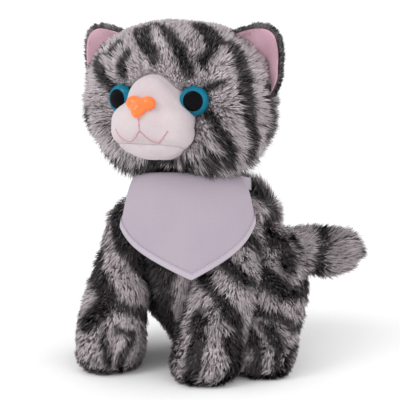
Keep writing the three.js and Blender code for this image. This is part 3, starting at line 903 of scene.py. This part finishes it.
def stuff(piece, sewn, pressure, limit):
    """Fills a closed cloth form by simulation. sewn gives how firmly each place is held, from 0 to
    1, and no place moves further than limit."""
    before = coordinates(piece.data)
    held = sewn(before)
    move_points(piece.data, before * SIMULATED_AT)
    group = piece.vertex_groups.new(name="sewn")
    for index, share in enumerate(held):
        group.add([index], float(share), "REPLACE")
    cloth = piece.modifiers.new("stuffing", "CLOTH")
    cloth.settings.quality = 5
    cloth.settings.mass = 0.1
    cloth.settings.tension_stiffness = 12
    cloth.settings.compression_stiffness = 12
    cloth.settings.shear_stiffness = 6
    cloth.settings.bending_stiffness = 0.3
    cloth.settings.vertex_group_mass = "sewn"
    cloth.settings.use_pressure = True
    cloth.settings.uniform_pressure_force = pressure
    cloth.settings.effector_weights.gravity = 0
    cloth.collision_settings.use_collision = False
    cloth.point_cache.frame_start = 1
    cloth.point_cache.frame_end = SIMULATED_FRAMES
    for frame_number in range(1, SIMULATED_FRAMES + 1):
        bpy.context.scene.frame_set(frame_number)
    filled = piece.evaluated_get(bpy.context.evaluated_depsgraph_get()).data
    after = coordinates(filled) / SIMULATED_AT
    bpy.context.scene.frame_set(1)
    piece.modifiers.remove(cloth)
    piece.vertex_groups.remove(group)
    move = after - before
    far = np.linalg.norm(move, axis=1, keepdims=True)
    move *= np.minimum(1, limit / np.maximum(far, 1e-9))
    move_points(piece.data, before + move)


# ---------------------------------------------------------------- muzzle
MUZZLE_LOW, MUZZLE_HIGH = box_of("muzzle_patch")
CHIN_TOP = box_of("chin_panel")[1].z
MOUTH_SLOPE = Vector((0, math.sin(math.radians(12)), math.cos(math.radians(12))))
MOUTH_POINT = Vector((0, MUZZLE_LOW.y + 4 * MM, CHIN_TOP))


def muzzle_form():
    back = MUZZLE_HIGH.y + 1 * MM
    line = [Vector((0, back, CHIN_TOP)), Vector((0, back, MUZZLE_HIGH.z - 13 * MM))]
    return wrap(["muzzle_patch", "chin_panel"], line, 0, sides=96, rings=80, cap=0.34, soft=14)


def seam_groove(mesh, point, normal, width, depth):
    """Draws the cloth in along a plane, where it is sewn to its neighbour."""
    for vertex in mesh.vertices:
        gap = abs((vertex.co - point).dot(normal)) / width
        vertex.co -= vertex.normal * depth * math.exp(-gap * gap)


def gathers(mesh, point, normal):
    """Shallow puckers on both sides of a seam, where the cloth is eased into it."""
    for vertex in mesh.vertices:
        away = (vertex.co - point).dot(normal) / (3.4 * MM)
        across = vertex.co.x / MM
        pucker = 0.5 + 0.5 * math.sin(across * 1.15 + 1.2 * math.sin(across * 0.43))
        vertex.co -= vertex.normal * 0.38 * MM * pucker * math.exp(-away * away)


def keep_side(mesh, point, normal):
    """Keeps the part of a closed mesh on the normal's side of a plane, closed by a flat face."""
    shell = bmesh.new()
    shell.from_mesh(mesh)
    everything = shell.verts[:] + shell.edges[:] + shell.faces[:]
    cut = bmesh.ops.bisect_plane(shell, geom=everything, plane_co=point, plane_no=normal, clear_inner=True)
    edges = [part for part in cut["geom_cut"] if isinstance(part, bmesh.types.BMEdge)]
    bmesh.ops.holes_fill(shell, edges=edges)
    shell.to_mesh(mesh)
    shell.free()
    mesh.shade_smooth()


def bell(point):
    """Draws the velour out to the eyes and in again above them, where the bridge leans over."""
    height = point.z / MM
    wide = 1 + 0.18 * ease((height - 128) / 9) - 0.17 * ease((height - 142) / 11)
    return Vector((point.x * wide - 1.7 * MM * ease((height - 139) / 11), point.y, point.z))


def sewn_muzzle(points):
    """The velour is sewn to the head all round, and to the chin along the mouth's seam."""
    back = smoothstep(MUZZLE_HIGH.y - 7 * MM, MUZZLE_HIGH.y - 3 * MM, points[:, 1])
    seam = np.abs((points - np.array(MOUTH_POINT)) @ np.array(MOUTH_SLOPE))
    return np.maximum(back, 1 - smoothstep(0.5 * MM, 1.1 * MM, seam))


def muzzle():
    """The velour of the muzzle and of the chin. Returns a search tree over both."""
    points, faces = muzzle_form()
    whole = closed_object("muzzle_velour", [bell(point) for point in points], faces)
    lean(whole, strength=0.35 * MM, size=9 * MM, seed=71)
    stuff(whole, sewn_muzzle, pressure=300, limit=1.4 * MM)
    seam_groove(whole.data, MOUTH_POINT, MOUTH_SLOPE, width=1.2 * MM, depth=0.32 * MM)
    gathers(whole.data, MOUTH_POINT, MOUTH_SLOPE)
    chin = new_object("chin_velour", whole.data.copy())
    surface = tree_of_piece(whole)
    keep_side(whole.data, MOUTH_POINT, MOUTH_SLOPE)
    keep_side(chin.data, MOUTH_POINT - MOUTH_SLOPE * 0.1 * MM, -MOUTH_SLOPE)
    for piece, nodes in ((whole, ("muzzle_patch", "muzzle_stuffing")), (chin, ("chin_panel",))):
        place(piece, [VELOUR], "head", "velour", *nodes)
    return surface


FACE = muzzle()


def on_face(x, z):
    """The muzzle's surface in front of a place, and its normal."""
    spot, normal, _, _ = FACE.ray_cast(Vector((x, -0.2, z)), -FRONT)
    return spot, normal


THREAD_SIDES = 10  # of a thread's cross-section
RUN_STEPS = 8  # rings of thread in each straight run


def thread_rings(shell, spots, radius, stitch):
    """Rings of points along (place, normal) pairs, thicker in the middle of each stitch."""
    rings, gone = [], 0.0
    for index, (spot, normal) in enumerate(spots):
        before = spots[max(index - 1, 0)][0]
        gone += (spot - before).length
        ahead = (spots[min(index + 1, len(spots) - 1)][0] - before).normalized()
        side = ahead.cross(normal).normalized()
        phase = gone / stitch % 1
        swell = radius * (0.62 + 0.38 * math.sin(math.pi * phase))
        shift = side * radius * 0.35 * (phase - 0.5)
        ring = []
        for corner in range(THREAD_SIDES):
            turn = 2 * math.pi * corner / THREAD_SIDES
            out = side * math.cos(turn) + normal * math.sin(turn)
            ring.append(shell.verts.new(spot + shift + out * swell))
        rings.append(ring)
    return rings


def stitched_line(name, routes, radius, stitch):
    """Embroidery: short overlapping stitches laid along lines on the muzzle."""
    shell = bmesh.new()
    for route in routes:
        spots = []
        for (x0, z0), (x1, z1) in zip(route[:-1], route[1:]):
            for step in range(RUN_STEPS):
                share = step / RUN_STEPS
                spots.append(on_face((x0 + (x1 - x0) * share) * MM, (z0 + (z1 - z0) * share) * MM))
        rings = thread_rings(shell, spots, radius, stitch)
        for near, far in zip(rings[:-1], rings[1:]):
            for corner in range(THREAD_SIDES):
                after = (corner + 1) % THREAD_SIDES
                shell.faces.new((near[corner], near[after], far[after], far[corner]))
        shell.faces.new(reversed(rings[0]))
        shell.faces.new(rings[-1])
    bmesh.ops.recalc_face_normals(shell, faces=shell.faces)
    return shell_object(name, shell)


MOUTH_MIDDLE = [(0, 133.5), (0, 127.6)]
MOUTH_SIDE = [(0, 127.6), (2.8, 124.4), (6.0, 121.9), (8.8, 121.5), (11.8, 124.0), (14.8, 128.2)]


def mouth():
    routes = [MOUTH_MIDDLE, MOUTH_SIDE, [(-x, z) for x, z in MOUTH_SIDE]]
    thread = stitched_line("mouth_embroidery", routes, radius=0.40 * MM, stitch=2.2 * MM)
    place(thread, [FLOSS], "head", "thread", "mouth_thread")


mouth()


# ---------------------------------------------------------------- nose and eyes
NOSE_LOBES = [  # middle and half size in mm, from the nose's middle: across, deep and up
    ((-4.0, 0, 0.9), (4.3, 3.4, 3.6)),
    ((4.0, 0, 0.9), (4.3, 3.4, 3.6)),
    ((0, 0, 0.4), (4.4, 3.1, 3.1)),
    ((0, -0.1, -2.2), (4.7, 3.4, 3.7)),
    ((0, 0, -4.1), (3.1, 3.1, 3.2)),
]


def remeshed(name, piece, voxel, smoothing):
    """A copy of a piece as one even skin. The piece itself is removed."""
    remesh = piece.modifiers.new("remesh", "REMESH")
    remesh.mode = "VOXEL"
    remesh.voxel_size = voxel
    relax = piece.modifiers.new("relax", "SMOOTH")
    relax.iterations = smoothing
    made = bpy.data.meshes.new_from_object(piece.evaluated_get(bpy.context.evaluated_depsgraph_get()))
    old = piece.data
    bpy.data.objects.remove(piece)
    bpy.data.meshes.remove(old)
    made.shade_smooth()
    return new_object(name, made)


def nose():
    """Lobes melted together into one moulding, set square on the muzzle."""
    middle = box_middle("nose")
    spot, normal = on_face(-0.4 * MM, middle.z + 0.3 * MM)
    turn = (-normal).to_track_quat("Y", "Z").to_matrix().to_4x4()
    stand = Matrix.Translation(spot + normal * 0.7 * MM) @ turn
    shell = bmesh.new()
    for centre, size in NOSE_LOBES:
        at = stand @ Matrix.Translation(Vector(centre) * MM)
        scale = Matrix.Diagonal((*(Vector(size) * MM), 1))
        bmesh.ops.create_icosphere(shell, subdivisions=4, radius=1, matrix=at @ scale)
    lobes = shell_object("nose_lobes", shell)
    bpy.context.view_layer.update()
    piece = remeshed("nose_moulding", lobes, voxel=0.30 * MM, smoothing=5)
    place(piece, [NOSE], "head", "nose_plastic", "nose")


nose()


def lathe(name, profile, stand, sides=72):
    """A turned solid about -Y of its stand from [radius, height] points, closed on its axis."""
    points = []
    for radius, height in profile:
        for side in range(sides):
            turn = 2 * math.pi * side / sides
            points.append(stand @ Vector((radius * math.cos(turn), -height, radius * math.sin(turn))))
    faces = ring_faces(len(profile), sides)
    faces.append(tuple(reversed(range(sides))))
    faces.append(tuple(range((len(profile) - 1) * sides, len(profile) * sides)))
    return closed_object(name, points, faces)


EYE_RADIUS, PUPIL_RADIUS, EYE_SPLAY = 7.4 * MM, 5.0 * MM, 14
EYE_DOME, EYE_WALL = 4.4 * MM, 0.6 * MM  # the iris's height, and that of its upright rim
PUPIL_SEAT, PUPIL_DOME = 0.9 * MM, 1.0 * MM  # how deep the pupil sits, and how far it bulges


def eye_stand(word, side):
    low, high = box_of(f"eye_{word}_pupil")
    turn = Matrix.Rotation(math.radians(EYE_SPLAY * side), 4, "Z")
    front = (low + high) / 2
    front.y = low.y + 0.8 * MM
    return Matrix.Translation(front - (turn @ FRONT) * EYE_DOME) @ turn


def eye(word, side):
    """A safety eye: a domed iris ring with a rolled rim, and a domed pupil set into it."""
    stand = eye_stand(word, side)
    dome = []
    for step in range(15):
        turn = math.pi / 2 * step / 14
        dome.append((EYE_RADIUS * math.cos(turn), EYE_WALL + (EYE_DOME - EYE_WALL) * math.sin(turn)))
    dome = [point for point in dome if point[0] > PUPIL_RADIUS + 0.15 * MM]
    edge = dome[-1][1]
    foot = [(EYE_RADIUS * 0.9, -0.6 * MM), (EYE_RADIUS * 0.99, -0.4 * MM), (EYE_RADIUS, 0.0)]
    lip = [
        (PUPIL_RADIUS + 0.12 * MM, edge + 0.14 * MM),
        (PUPIL_RADIUS + 0.02 * MM, edge + 0.02 * MM),
        (PUPIL_RADIUS, edge - PUPIL_SEAT),
    ]
    iris = lathe(f"eye_{word}_iris_ring", foot + dome + lip, stand)
    place(iris, [IRIS], "head", "iris_plastic", f"eye_{word}_iris")
    wall = PUPIL_RADIUS - 0.04 * MM
    crown = [(wall, edge - PUPIL_SEAT), (wall, edge - 0.1 * MM)]
    for step in range(1, 12):
        turn = math.pi / 2 * step / 12
        radius = (PUPIL_RADIUS - 0.06 * MM) * math.cos(turn)
        crown.append((radius, edge - 0.1 * MM + PUPIL_DOME * math.sin(turn)))
    pupil = lathe(f"eye_{word}_pupil_dome", crown, stand)
    place(pupil, [PUPIL], "head", "pupil_plastic", f"eye_{word}_pupil")


for WORD, SIDE in SIDES:
    eye(WORD, SIDE)

EYE_SPOTS = [np.array(eye_stand(word, side).translation) for word, side in SIDES]


# ---------------------------------------------------------------- the head's pile
# In the functions that shape a pile, the limits of smoothstep are heights or places in metres.
def eye_distance(points):
    return np.minimum(*[np.linalg.norm(points - spot, axis=1) for spot in EYE_SPOTS])


def muzzle_distance(points):
    """How far outside the muzzle points lie; below zero inside it."""
    found = np.empty(len(points))
    for index, point in enumerate(points):
        spot, normal, _, distance = FACE.find_nearest(Vector(point))
        found[index] = distance if (Vector(point) - spot).dot(normal) > 0 else -distance
    return found


def head_pile():
    muzzle_middle = np.array(MOUTH_POINT + Vector((0, 6 * MM, 14 * MM)))
    neck = np.array(NECK_PIVOT)

    def length(points, _):
        side = np.abs(points[:, 0]) / HEAD_HIGH.x
        low = smoothstep(0.150, 0.125, points[:, 2])
        under = smoothstep(0.122, 0.111, points[:, 2])
        crown = smoothstep(0.158, 0.178, points[:, 2])
        long = 4.6 + 2.4 * side * low + 1.2 * low + 4.2 * under - 1.3 * crown
        near = smoothstep(7.0 * MM, 17 * MM, eye_distance(points))
        by_muzzle = smoothstep(0.5 * MM, 9 * MM, muzzle_distance(points))
        return long * (0.45 + 0.55 * near) * (0.5 + 0.5 * by_muzzle)

    def comb(points, _):
        way = unit(points - muzzle_middle)
        way[:, 2] -= 0.25 * smoothstep(0.155, 0.13, points[:, 2])
        way[:, 2] -= smoothstep(0.122, 0.111, points[:, 2])
        way[:, 1] += 0.15
        return way

    def keep(points, _):
        clear_of_eyes = eye_distance(points) > 7.4 * MM
        clear_of_neck = np.linalg.norm(points - neck, axis=1) > 17 * MM
        return clear_of_eyes & clear_of_neck & (muzzle_distance(points) > 0.4 * MM)

    pile("head_pile", HEAD, "head", 2.6, length, comb, head_stripes, seed=3, keep=keep)


head_pile()


# ---------------------------------------------------------------- ears
EAR_LONG, EAR_TALL = 39 * MM, 23.5 * MM
EAR_FOOT = -2  # where the outline starts, below the seam, in mm
EAR_RIM = [  # the outline in mm: along the sewn edge and up from it
    (-19.5, EAR_FOOT),
    (-17.6, 6.5),
    (-14.6, 14.0),
    (-10.2, 19.8),
    (-4.6, 22.0),
    (2, 19.6),
    (9, 14.2),
    (15.4, 7.4),
    (19.5, EAR_FOOT),
]


def spline(points, share):
    """A smooth line through points, at a share of the way along."""
    at = share * (len(points) - 1)
    step = min(int(at), len(points) - 2)
    t = at - step
    p0, p1 = points[max(step - 1, 0)], points[step]
    p2, p3 = points[step + 1], points[min(step + 2, len(points) - 1)]
    return tuple(
        0.5 * (2 * b + (c - a) * t + (2 * a - 5 * b + 4 * c - d) * t**2 + (3 * b - a - 3 * c + d) * t**3)
        for a, b, c, d in zip(p0, p1, p2, p3)
    )


def ear_stand(word, side):
    """The ear's own axes: x down along its sewn edge, y to its tip and z to its front."""
    joint = JOINTS[f"ear_{word}_fold"]
    base = Vector(joint["pos_m"])
    down = Vector(joint["axis"]) * side
    up = box_middle(f"ear_{word}_back") - base
    up = (up - down * up.dot(down)).normalized()
    front = down.cross(up) * side
    turn = Matrix((down, up, front)).transposed().to_4x4()
    return Matrix.Translation(base) @ turn


def ear_point(across, up, raise_front, inset):
    """A place on the cupped ear: across 0 to 1 along the edge, up 0 to 1 from the seam to the rim."""
    x, y = (value * MM for value in spline(EAR_RIM, across))
    foot = (across - 0.5) * EAR_LONG
    shrink = 1 - inset / EAR_TALL
    px = (foot + (x - foot) * up) * (1 - inset / EAR_LONG)
    py = EAR_FOOT * MM + (y - EAR_FOOT * MM) * up * shrink
    cup = -6.0 * MM * math.sin(math.pi * across) * (1 - 0.55 * up**1.5)
    crease_at = (across - 0.60) / 0.10
    crease = -4.2 * MM * math.exp(-crease_at * crease_at) * (1 - up) ** 0.8
    curl = 1.6 * MM * up**3
    return Vector((px, py, cup + crease + curl + raise_front))


def ear_layer(name, stand, front_rise, back_rise, inset, across=40, up=22):
    """A padded cloth with the ear's outline, thin at its rim."""
    middle = (front_rise + back_rise) / 2
    points = []
    for rise in (front_rise, back_rise):
        for row in range(up + 1):
            for column in range(across + 1):
                share = row / up
                edge = min(share, column / across * 6, (1 - column / across) * 6, (1 - share) * 5 + 0.12, 1)
                height = middle + (rise - middle) * max(edge, 0.12) ** 0.5
                points.append(stand @ ear_point(column / across, share, height, inset))
    return closed_object(name, points, sheet_faces(up, across))


def ear_shades(points):
    return 0.72 + 0.25 * noise(points, 7 * MM, 81)


def ear(word, side):
    stand = ear_stand(word, side)
    body = f"ear_{word}"
    back = ear_layer(f"{body}_cloth", stand, front_rise=-0.2 * MM, back_rise=-2.4 * MM, inset=0.8 * MM)
    lining = ear_layer(f"{body}_velour", stand, front_rise=1.5 * MM, back_rise=0.2 * MM, inset=1.9 * MM)
    lean(lining, strength=0.35 * MM, size=6 * MM, seed=83)
    print_stripes(back, np.full(len(back.data.vertices), 0.35))
    place(back, [BACKING], body, "tabby_fur", f"{body}_back")
    place(lining, [EAR_VELOUR], body, "ear_velour", f"{body}_lining")
    into_ear = np.array(stand.inverted())
    facing_front = np.array(stand.to_3x3() @ Vector((0, 0, 1)))
    up = np.array(stand.to_3x3() @ Vector((0, 1, 0)))
    pink = tree_of_piece(lining)

    def length(points, _):
        return np.full(len(points), 2.6)

    def height(points):
        return (points @ into_ear[:3, :3].T + into_ear[:3, 3])[:, 1]

    def keep(points, normals):
        bare = np.array([pink.find_nearest(Vector(point))[3] for point in points]) < 1.0 * MM
        return ((normals @ facing_front < 0.30) | ~bare) & (height(points) > 0)

    def comb(points, _):
        return unit(points - np.array(stand.translation)) + up * (height(points)[:, None] / EAR_TALL)

    pile(f"{body}_pile", back, body, 8.0, length, comb, ear_shades, seed=90 + side, keep=keep,
         rise=0.55, width=0.42 * MM)


for WORD, SIDE in SIDES:
    ear(WORD, SIDE)


# ---------------------------------------------------------------- bandana
CLOTH_LOW, CLOTH_HIGH = box_of("bandana_cloth")
NECK_AXIS = Vector(JOINTS["bandana_turn"]["pos_m"])
BAND_RADIUS, BAND_HEIGHT = 32.5 * MM, 6.5 * MM
BANDANA_TURN = 16.0  # degrees that the point hangs to the kitten's left
BANDANA_SPAN, BANDANA_TIP = 47.5, 4.0  # from the middle to a front corner and to the tip, in degrees
BANDANA_WRAP = 186.0  # from the middle to the end of the lap behind
BANDANA_DROP = CLOTH_HIGH.z - CLOTH_LOW.z
BANDANA_CORNERS = {1: 14 * MM, -1: 21 * MM}  # how far each front corner hangs, the kitten's left first
BIB_WIDE, BIB_DEEP = 25.0 * MM, 13.0 * MM  # how far the bib's foot stands out, sideways and forwards
HEM_WIDTH, CLOTH_THICK = 3.2 * MM, 0.55 * MM
HEM_STITCHES = 70


def cloth_drop(angle):
    """How far the cloth hangs at an angle round the neck: a pointed bib, then a narrow band."""
    side = 1 if angle > BANDANA_TIP else -1
    share = abs(angle - BANDANA_TIP) / (BANDANA_SPAN - side * BANDANA_TIP)
    corner = BANDANA_CORNERS[side]
    if share < 1:
        return corner + (BANDANA_DROP - corner) * (1 - 0.66 * share - 0.34 * share**5)
    narrowing = min(1, (share - 1) / 0.20)
    return corner + (BAND_HEIGHT - corner) * math.sin(narrowing * math.pi / 2) ** 1.4


def cloth_point(angle, drop, off):
    """A place on the bandana, off that far outwards, with a few slow folds."""
    turn = math.radians(angle + BANDANA_TURN)
    share = drop / BANDANA_DROP
    front = max(0.0, math.cos(math.radians(min(abs(angle), 90))))
    beyond = clamp((abs(angle) - BANDANA_SPAN * 0.9) / 14)
    spread = 1 - 0.9 * beyond
    fold = 0.7 * MM * share**0.8 * math.sin(math.radians(angle * 5.2 + 30)) * front
    tuck = 3.5 * MM * beyond * math.sin(math.radians(angle)) ** 2
    wide = BAND_RADIUS + BIB_WIDE * share**0.28 * spread - tuck + off + fold
    deep = BAND_RADIUS + BIB_DEEP * share**0.65 * spread - tuck + off + fold
    lap = 1.4 * MM * math.copysign(clamp((abs(angle) - 150) / 14), angle)
    x = (wide + lap) * math.sin(turn)
    y = -(deep + lap) * math.cos(turn)
    up = CLOTH_HIGH.z + 6 * MM * front - drop * (1 + 0.05 * front)
    return Vector((NECK_AXIS.x + x, NECK_AXIS.y + y, up))


def cloth_strip(name, columns, rows, span, top, bottom, off, thick):
    """A closed thin sheet over angles up to span each way, from the drop top to the drop bottom."""
    points, flat = [], []
    for layer in (off + thick, off):
        for column in range(columns + 1):
            angle = (2 * column / columns - 1) * span
            for row in range(rows + 1):
                drop = top(angle) + (bottom(angle) - top(angle)) * row / rows
                points.append(cloth_point(angle, drop, layer))
                flat.append((math.radians(angle) * BAND_RADIUS, drop))
    piece = closed_object(name, points, sheet_faces(columns, rows))
    lay_flat(piece, flat)
    return piece


def stitches(name, spots, thick, long):
    """A row of short raised stitches along a line of (place, outward) pairs."""
    shell = bmesh.new()
    for (here, out), (there, _) in zip(spots[:-1], spots[1:]):
        ahead = (there - here).normalized()
        side = ahead.cross(out).normalized()
        turn = Matrix((ahead, side, side.cross(ahead))).transposed().to_4x4()
        scale = Matrix.Diagonal((long / 2, thick, thick * 0.8, 1))
        stand = Matrix.Translation(here) @ turn @ scale
        bmesh.ops.create_icosphere(shell, subdivisions=2, radius=1, matrix=stand)
    return shell_object(name, shell)


def bandana():
    """The cloth with its turned hem and stitches. Returns a search tree over the cloth."""
    cloth = cloth_strip("bandana_sheet", columns=220, rows=34, span=BANDANA_WRAP, top=lambda angle: 0,
                        bottom=cloth_drop, off=0, thick=CLOTH_THICK)
    hem = cloth_strip("bandana_turned_hem", columns=110, rows=4, span=BANDANA_SPAN,
                      top=lambda angle: cloth_drop(angle) - HEM_WIDTH,
                      bottom=lambda angle: cloth_drop(angle) - 0.1 * MM,
                      off=CLOTH_THICK + 0.05 * MM, thick=0.45 * MM)
    row = []
    for step in range(HEM_STITCHES):
        angle = (2 * step / (HEM_STITCHES - 1) - 1) * (BANDANA_SPAN - 1)
        drop = cloth_drop(angle) - HEM_WIDTH + 0.5 * MM
        spot = cloth_point(angle, drop, CLOTH_THICK + 0.55 * MM)
        row.append((spot, (spot - cloth_point(angle, drop, 0)).normalized()))
    sewn = stitches("bandana_hem_stitches", row, thick=0.16 * MM, long=1.1 * MM)
    place(cloth, [BANDANA], "bandana", "bandana_fabric", "bandana_cloth")
    place(hem, [HEM_PAINTED_LIGHT], "bandana", "bandana_hem", "bandana_hem")
    place(sewn, [HEM_PAINTED_LIGHT], "bandana", "bandana_hem")
    return tree_of_piece(cloth)


CLOTH_TREE = bandana()


def under_cloth(long, points, normals):
    """Lengths of pile in mm, shorter where the bandana hangs in front of it."""
    room = np.full(len(points), 1.0)
    for index, (point, normal) in enumerate(zip(points, normals)):
        spot, _, _, distance = CLOTH_TREE.find_nearest(Vector(point))
        if (spot - Vector(point)).dot(Vector(normal)) > 0.3 * distance:
            room[index] = distance
    return np.minimum(long, np.maximum(room / MM * 0.85, 0.8))


# ---------------------------------------------------------------- legs
PAW_MOVES_BELOW = 60 * MM
FORELEG_RADIUS, HIND_LEG_RADIUS = 15 * MM, 19 * MM
# Each leg: kind, side, strokes, azimuths of the toe seams, the paw's step in mm, the radius that the
# stripes are measured at, the seed, how much the leg swells and whether the strokes are mirrored.
LEG_TABLE = [
    ("foreleg", "left", FORELEG_LEFT_STROKES, (-14, 22), (1.5, -1, 0), FORELEG_RADIUS, 201, 0.14, False),
    ("foreleg", "right", FORELEG_RIGHT_STROKES, (0, 34), (-5.5, -4, 0), FORELEG_RADIUS, 211, 0.14, False),
    ("hind_leg", "left", HIND_LEG_STROKES, (-16, 18), (-1, -4, 0), HIND_LEG_RADIUS, 221, 0.04, False),
    ("hind_leg", "right", HIND_LEG_STROKES, (-18, 16), (1, -4, 0), HIND_LEG_RADIUS, 231, 0.04, True),
]


def toe_press(line, lines):
    """Draws the cloth in where the toes are stitched, at azimuths on the front of the paw."""
    low = line[0]

    def press(point):
        azimuth = math.degrees(math.atan2(point.x - low.x, low.y - point.y))
        height = point.z / MM
        depth = max(math.exp(-(((azimuth - at) / 7) ** 2)) for at in lines)
        depth *= clamp((26 - height) / 8) * clamp(height / 3)
        inwards = Vector((low.x - point.x, low.y - point.y, 0)).normalized()
        return point + inwards * 2.4 * MM * depth
    return press


def grounded(press, step, line, swell):
    """Keeps a sole flat and just above the floor, after the foot has moved by step and the leg swelled."""
    def settle(point):
        moved = press(point)
        lift = point.z / PAW_MOVES_BELOW
        middle = line[0].lerp(line[1], clamp((point.z - line[0].z) / (line[1].z - line[0].z)))
        full = swell * max(0, 1 - (2 * lift - 0.9) ** 2)
        moved.x += (moved.x - middle.x) * full
        share = clamp((PAW_MOVES_BELOW - point.z) / PAW_MOVES_BELOW)
        moved = moved + Vector(step) * MM * share * (2 - share)
        return Vector((moved.x, moved.y, max(moved.z, FLOOR_GAP)))
    return settle


def leg(kind, word, strokes, toes, step, radius, seed, swell, mirrored):
    line = leg_line(kind, word)
    stripes = limb_stripes(line, strokes, radius, mirrored)
    body = f"{kind}_{word}"
    cloth = base_skin(f"{body}_cloth", [f"{body}_skin", f"{body}_stuffing"], line, body, stripes, 0.85,
                      press=grounded(toe_press(line, toes), step, line, swell), cap=0.30, soft=7)

    def length(points, normals):
        return under_cloth(4.6 + 1.6 * smoothstep(0.012, 0.04, points[:, 2]), points, normals)

    def comb(points, normals):
        paw = smoothstep(0.03, 0.012, points[:, 2])[:, None]
        downwards = np.array([0, -0.15, -1.0]) * (1 - paw)
        forwards = (normals * np.array([1, 1, 0]) + np.array([0, -0.5, -0.4])) * paw
        return downwards + forwards

    def keep(points, normals):
        return (points[:, 2] > 1.2 * MM) | (normals[:, 2] > -0.8)

    pile(f"{body}_pile", cloth, body, 2.7, length, comb, stripes, seed, keep)
    return tree_of_piece(cloth)


LEG_TREES = [leg(*row) for row in LEG_TABLE]


# ---------------------------------------------------------------- tail
def tail():
    cloth = base_skin("tail_cloth", ["tail_skin", "tail_stuffing"], TAIL_LINE, "tail", tail_stripes, 0.8,
                      sides=40, rings=64, cap=0.14, soft=5, reach=0.04)
    towards = np.array([unit(np.array([b - a]))[0] for a, b in zip(TAIL_LINE[:-1], TAIL_LINE[1:])])

    def comb(points, _):
        step = (tail_share(points, TAIL_LINE) * len(towards)).astype(int)
        return towards[np.clip(step, 0, len(towards) - 1)]

    def length(points, _):
        return 6.0 + 2.6 * smoothstep(0.35, 0.85, tail_share(points, TAIL_LINE))

    pile("tail_pile", cloth, "tail", 2.7, length, comb, tail_stripes, seed=241)


tail()


# ---------------------------------------------------------------- torso and neck
# The torso's stripes, and the painted shade between the forelegs, darken both its backing cloth and its
# pile.
TORSO_STRIPES_AND_SHADE = limb_stripes(TORSO_LINE, TORSO_STROKES, 38 * MM)
NECK_STROKE = (3.0, [(-170, 112), (0, 106), (170, 110)])


def outside_legs(points, _):
    return np.array([not any(is_inside(tree, Vector(point)) for tree in LEG_TREES) for point in points])


def rump(point):
    """Keeps the seat on the floor and a little flatter behind, where the kitten leans on it."""
    low = clamp((70 * MM - point.z) / (30 * MM))
    behind = clamp((point.y - 20 * MM) / (20 * MM))
    return Vector((point.x, point.y - 3 * MM * low * behind, max(point.z, FLOOR_GAP)))


def torso():
    cloth = base_skin("torso_cloth", ["torso_skin", "torso_stuffing"], TORSO_LINE, "torso", TORSO_STRIPES_AND_SHADE,
                      0.85, sides=84, rings=72, cap=0.26, soft=8, press=rump)

    def nape(points):
        """1 behind the neck, where long pile stands up to the head, and 0 elsewhere."""
        behind = smoothstep(0.002, 0.014, points[:, 1] - NECK_AXIS.y)
        return behind * smoothstep(0.075, 0.087, points[:, 2])

    def length(points, normals):
        long = 5.4 + 1.0 * smoothstep(0.09, 0.06, points[:, 2]) - 1.6 * smoothstep(0.045, 0.03, points[:, 2])
        short = under_cloth(long, points, normals)
        return short + (13.0 - short) * nape(points)

    def comb(points, _):
        way = np.tile(np.array([0.0, 0.25, -1.0]), (len(points), 1))
        way[:, 0] = points[:, 0] * 6
        upwards = np.tile(np.array([0.0, 0.0, 1.0]), (len(points), 1))
        return way + (upwards - way) * nape(points)[:, None]

    pile("torso_pile", cloth, "torso", 2.6, length, comb, TORSO_STRIPES_AND_SHADE, seed=251, keep=outside_legs)


def neck():
    line = upright(NECK_PIVOT, 2 * MM)
    stripes = limb_stripes(line, [NECK_STROKE], 21 * MM)
    cloth = base_skin("neck_cloth", ["neck_stuffing"], line, "neck", stripes, 0.8, inset=0.4 * MM, cap=0.45)

    def length(points, _):
        return np.full(len(points), 6.5)

    def comb(points, _):
        return np.tile(np.array([0.0, 0.0, -1.0]), (len(points), 1))

    pile("neck_pile", cloth, "neck", 2.4, length, comb, stripes, seed=261)


torso()
neck()


# ---------------------------------------------------------------- small trim and what is inside
def care_label():
    """A folded blank tape that hangs from the seam by the tail."""
    low, high = box_of("care_label")
    top = Vector(((low.x + high.x) / 2, (low.y + high.y) / 2, high.z))
    tall = high.z - low.z
    run = Vector((high.x - low.x, low.y - high.y, 0))
    out = Vector((-run.y, run.x, 0)).normalized()
    points, faces, flat = [], [], []
    columns, rows = 12, 24
    for row in range(rows + 1):
        share = row / rows
        drop = 1 - abs(2 * share - 1)
        layer = (0.25 if share > 0.5 else -0.25) * MM
        for column in range(columns + 1):
            across = column / columns - 0.5
            bend = 0.5 * MM * math.cos(across * 5) * math.sin(math.pi * share)
            points.append(top + run * across + out * (layer + bend) - Vector((0, 0, tall * drop)))
            flat.append((across * run.length, share * 2 * tall))
    wide = columns + 1
    for row in range(rows):
        for column in range(columns):
            a = row * wide + column
            faces.append((a, a + 1, a + 1 + wide, a + wide))
    label = mesh_object("care_label_tape", points, faces)
    lay_flat(label, flat)
    thick = label.modifiers.new("thick", "SOLIDIFY")
    thick.thickness = 0.2 * MM
    place(label, [TAPE], "torso", "label_tape", "care_label")


def pellet_bag():
    line = upright(box_middle("pellet_bag"), 1 * MM)
    points, faces = wrap(["pellet_bag"], line, 0.2 * MM, sides=64, rings=40, cap=0.45, soft=3)
    bag = closed_object("pellet_bag_calico", points, faces)
    lean(bag, strength=0.5 * MM, size=4 * MM, seed=301)
    place(bag, [CALICO], "torso", "bag_cloth", "pellet_bag")


def finish_cad_node(node, material):
    """A CAD node whose shape is right keeps it and gets its finish."""
    mesh = frame["nodes"][node].data
    mesh.materials.clear()
    mesh.materials.append(material)


care_label()
pellet_bag()
for NODE in ("eye_left_washer", "eye_right_washer", "nose_washer"):
    finish_cad_node(NODE, NYLON)
for NODE in ("closure_loop_pad", "closure_hook_pad"):
    finish_cad_node(NODE, HOOK_TAPE)
finish_cad_node("closing_seam", SEAM_THREAD)
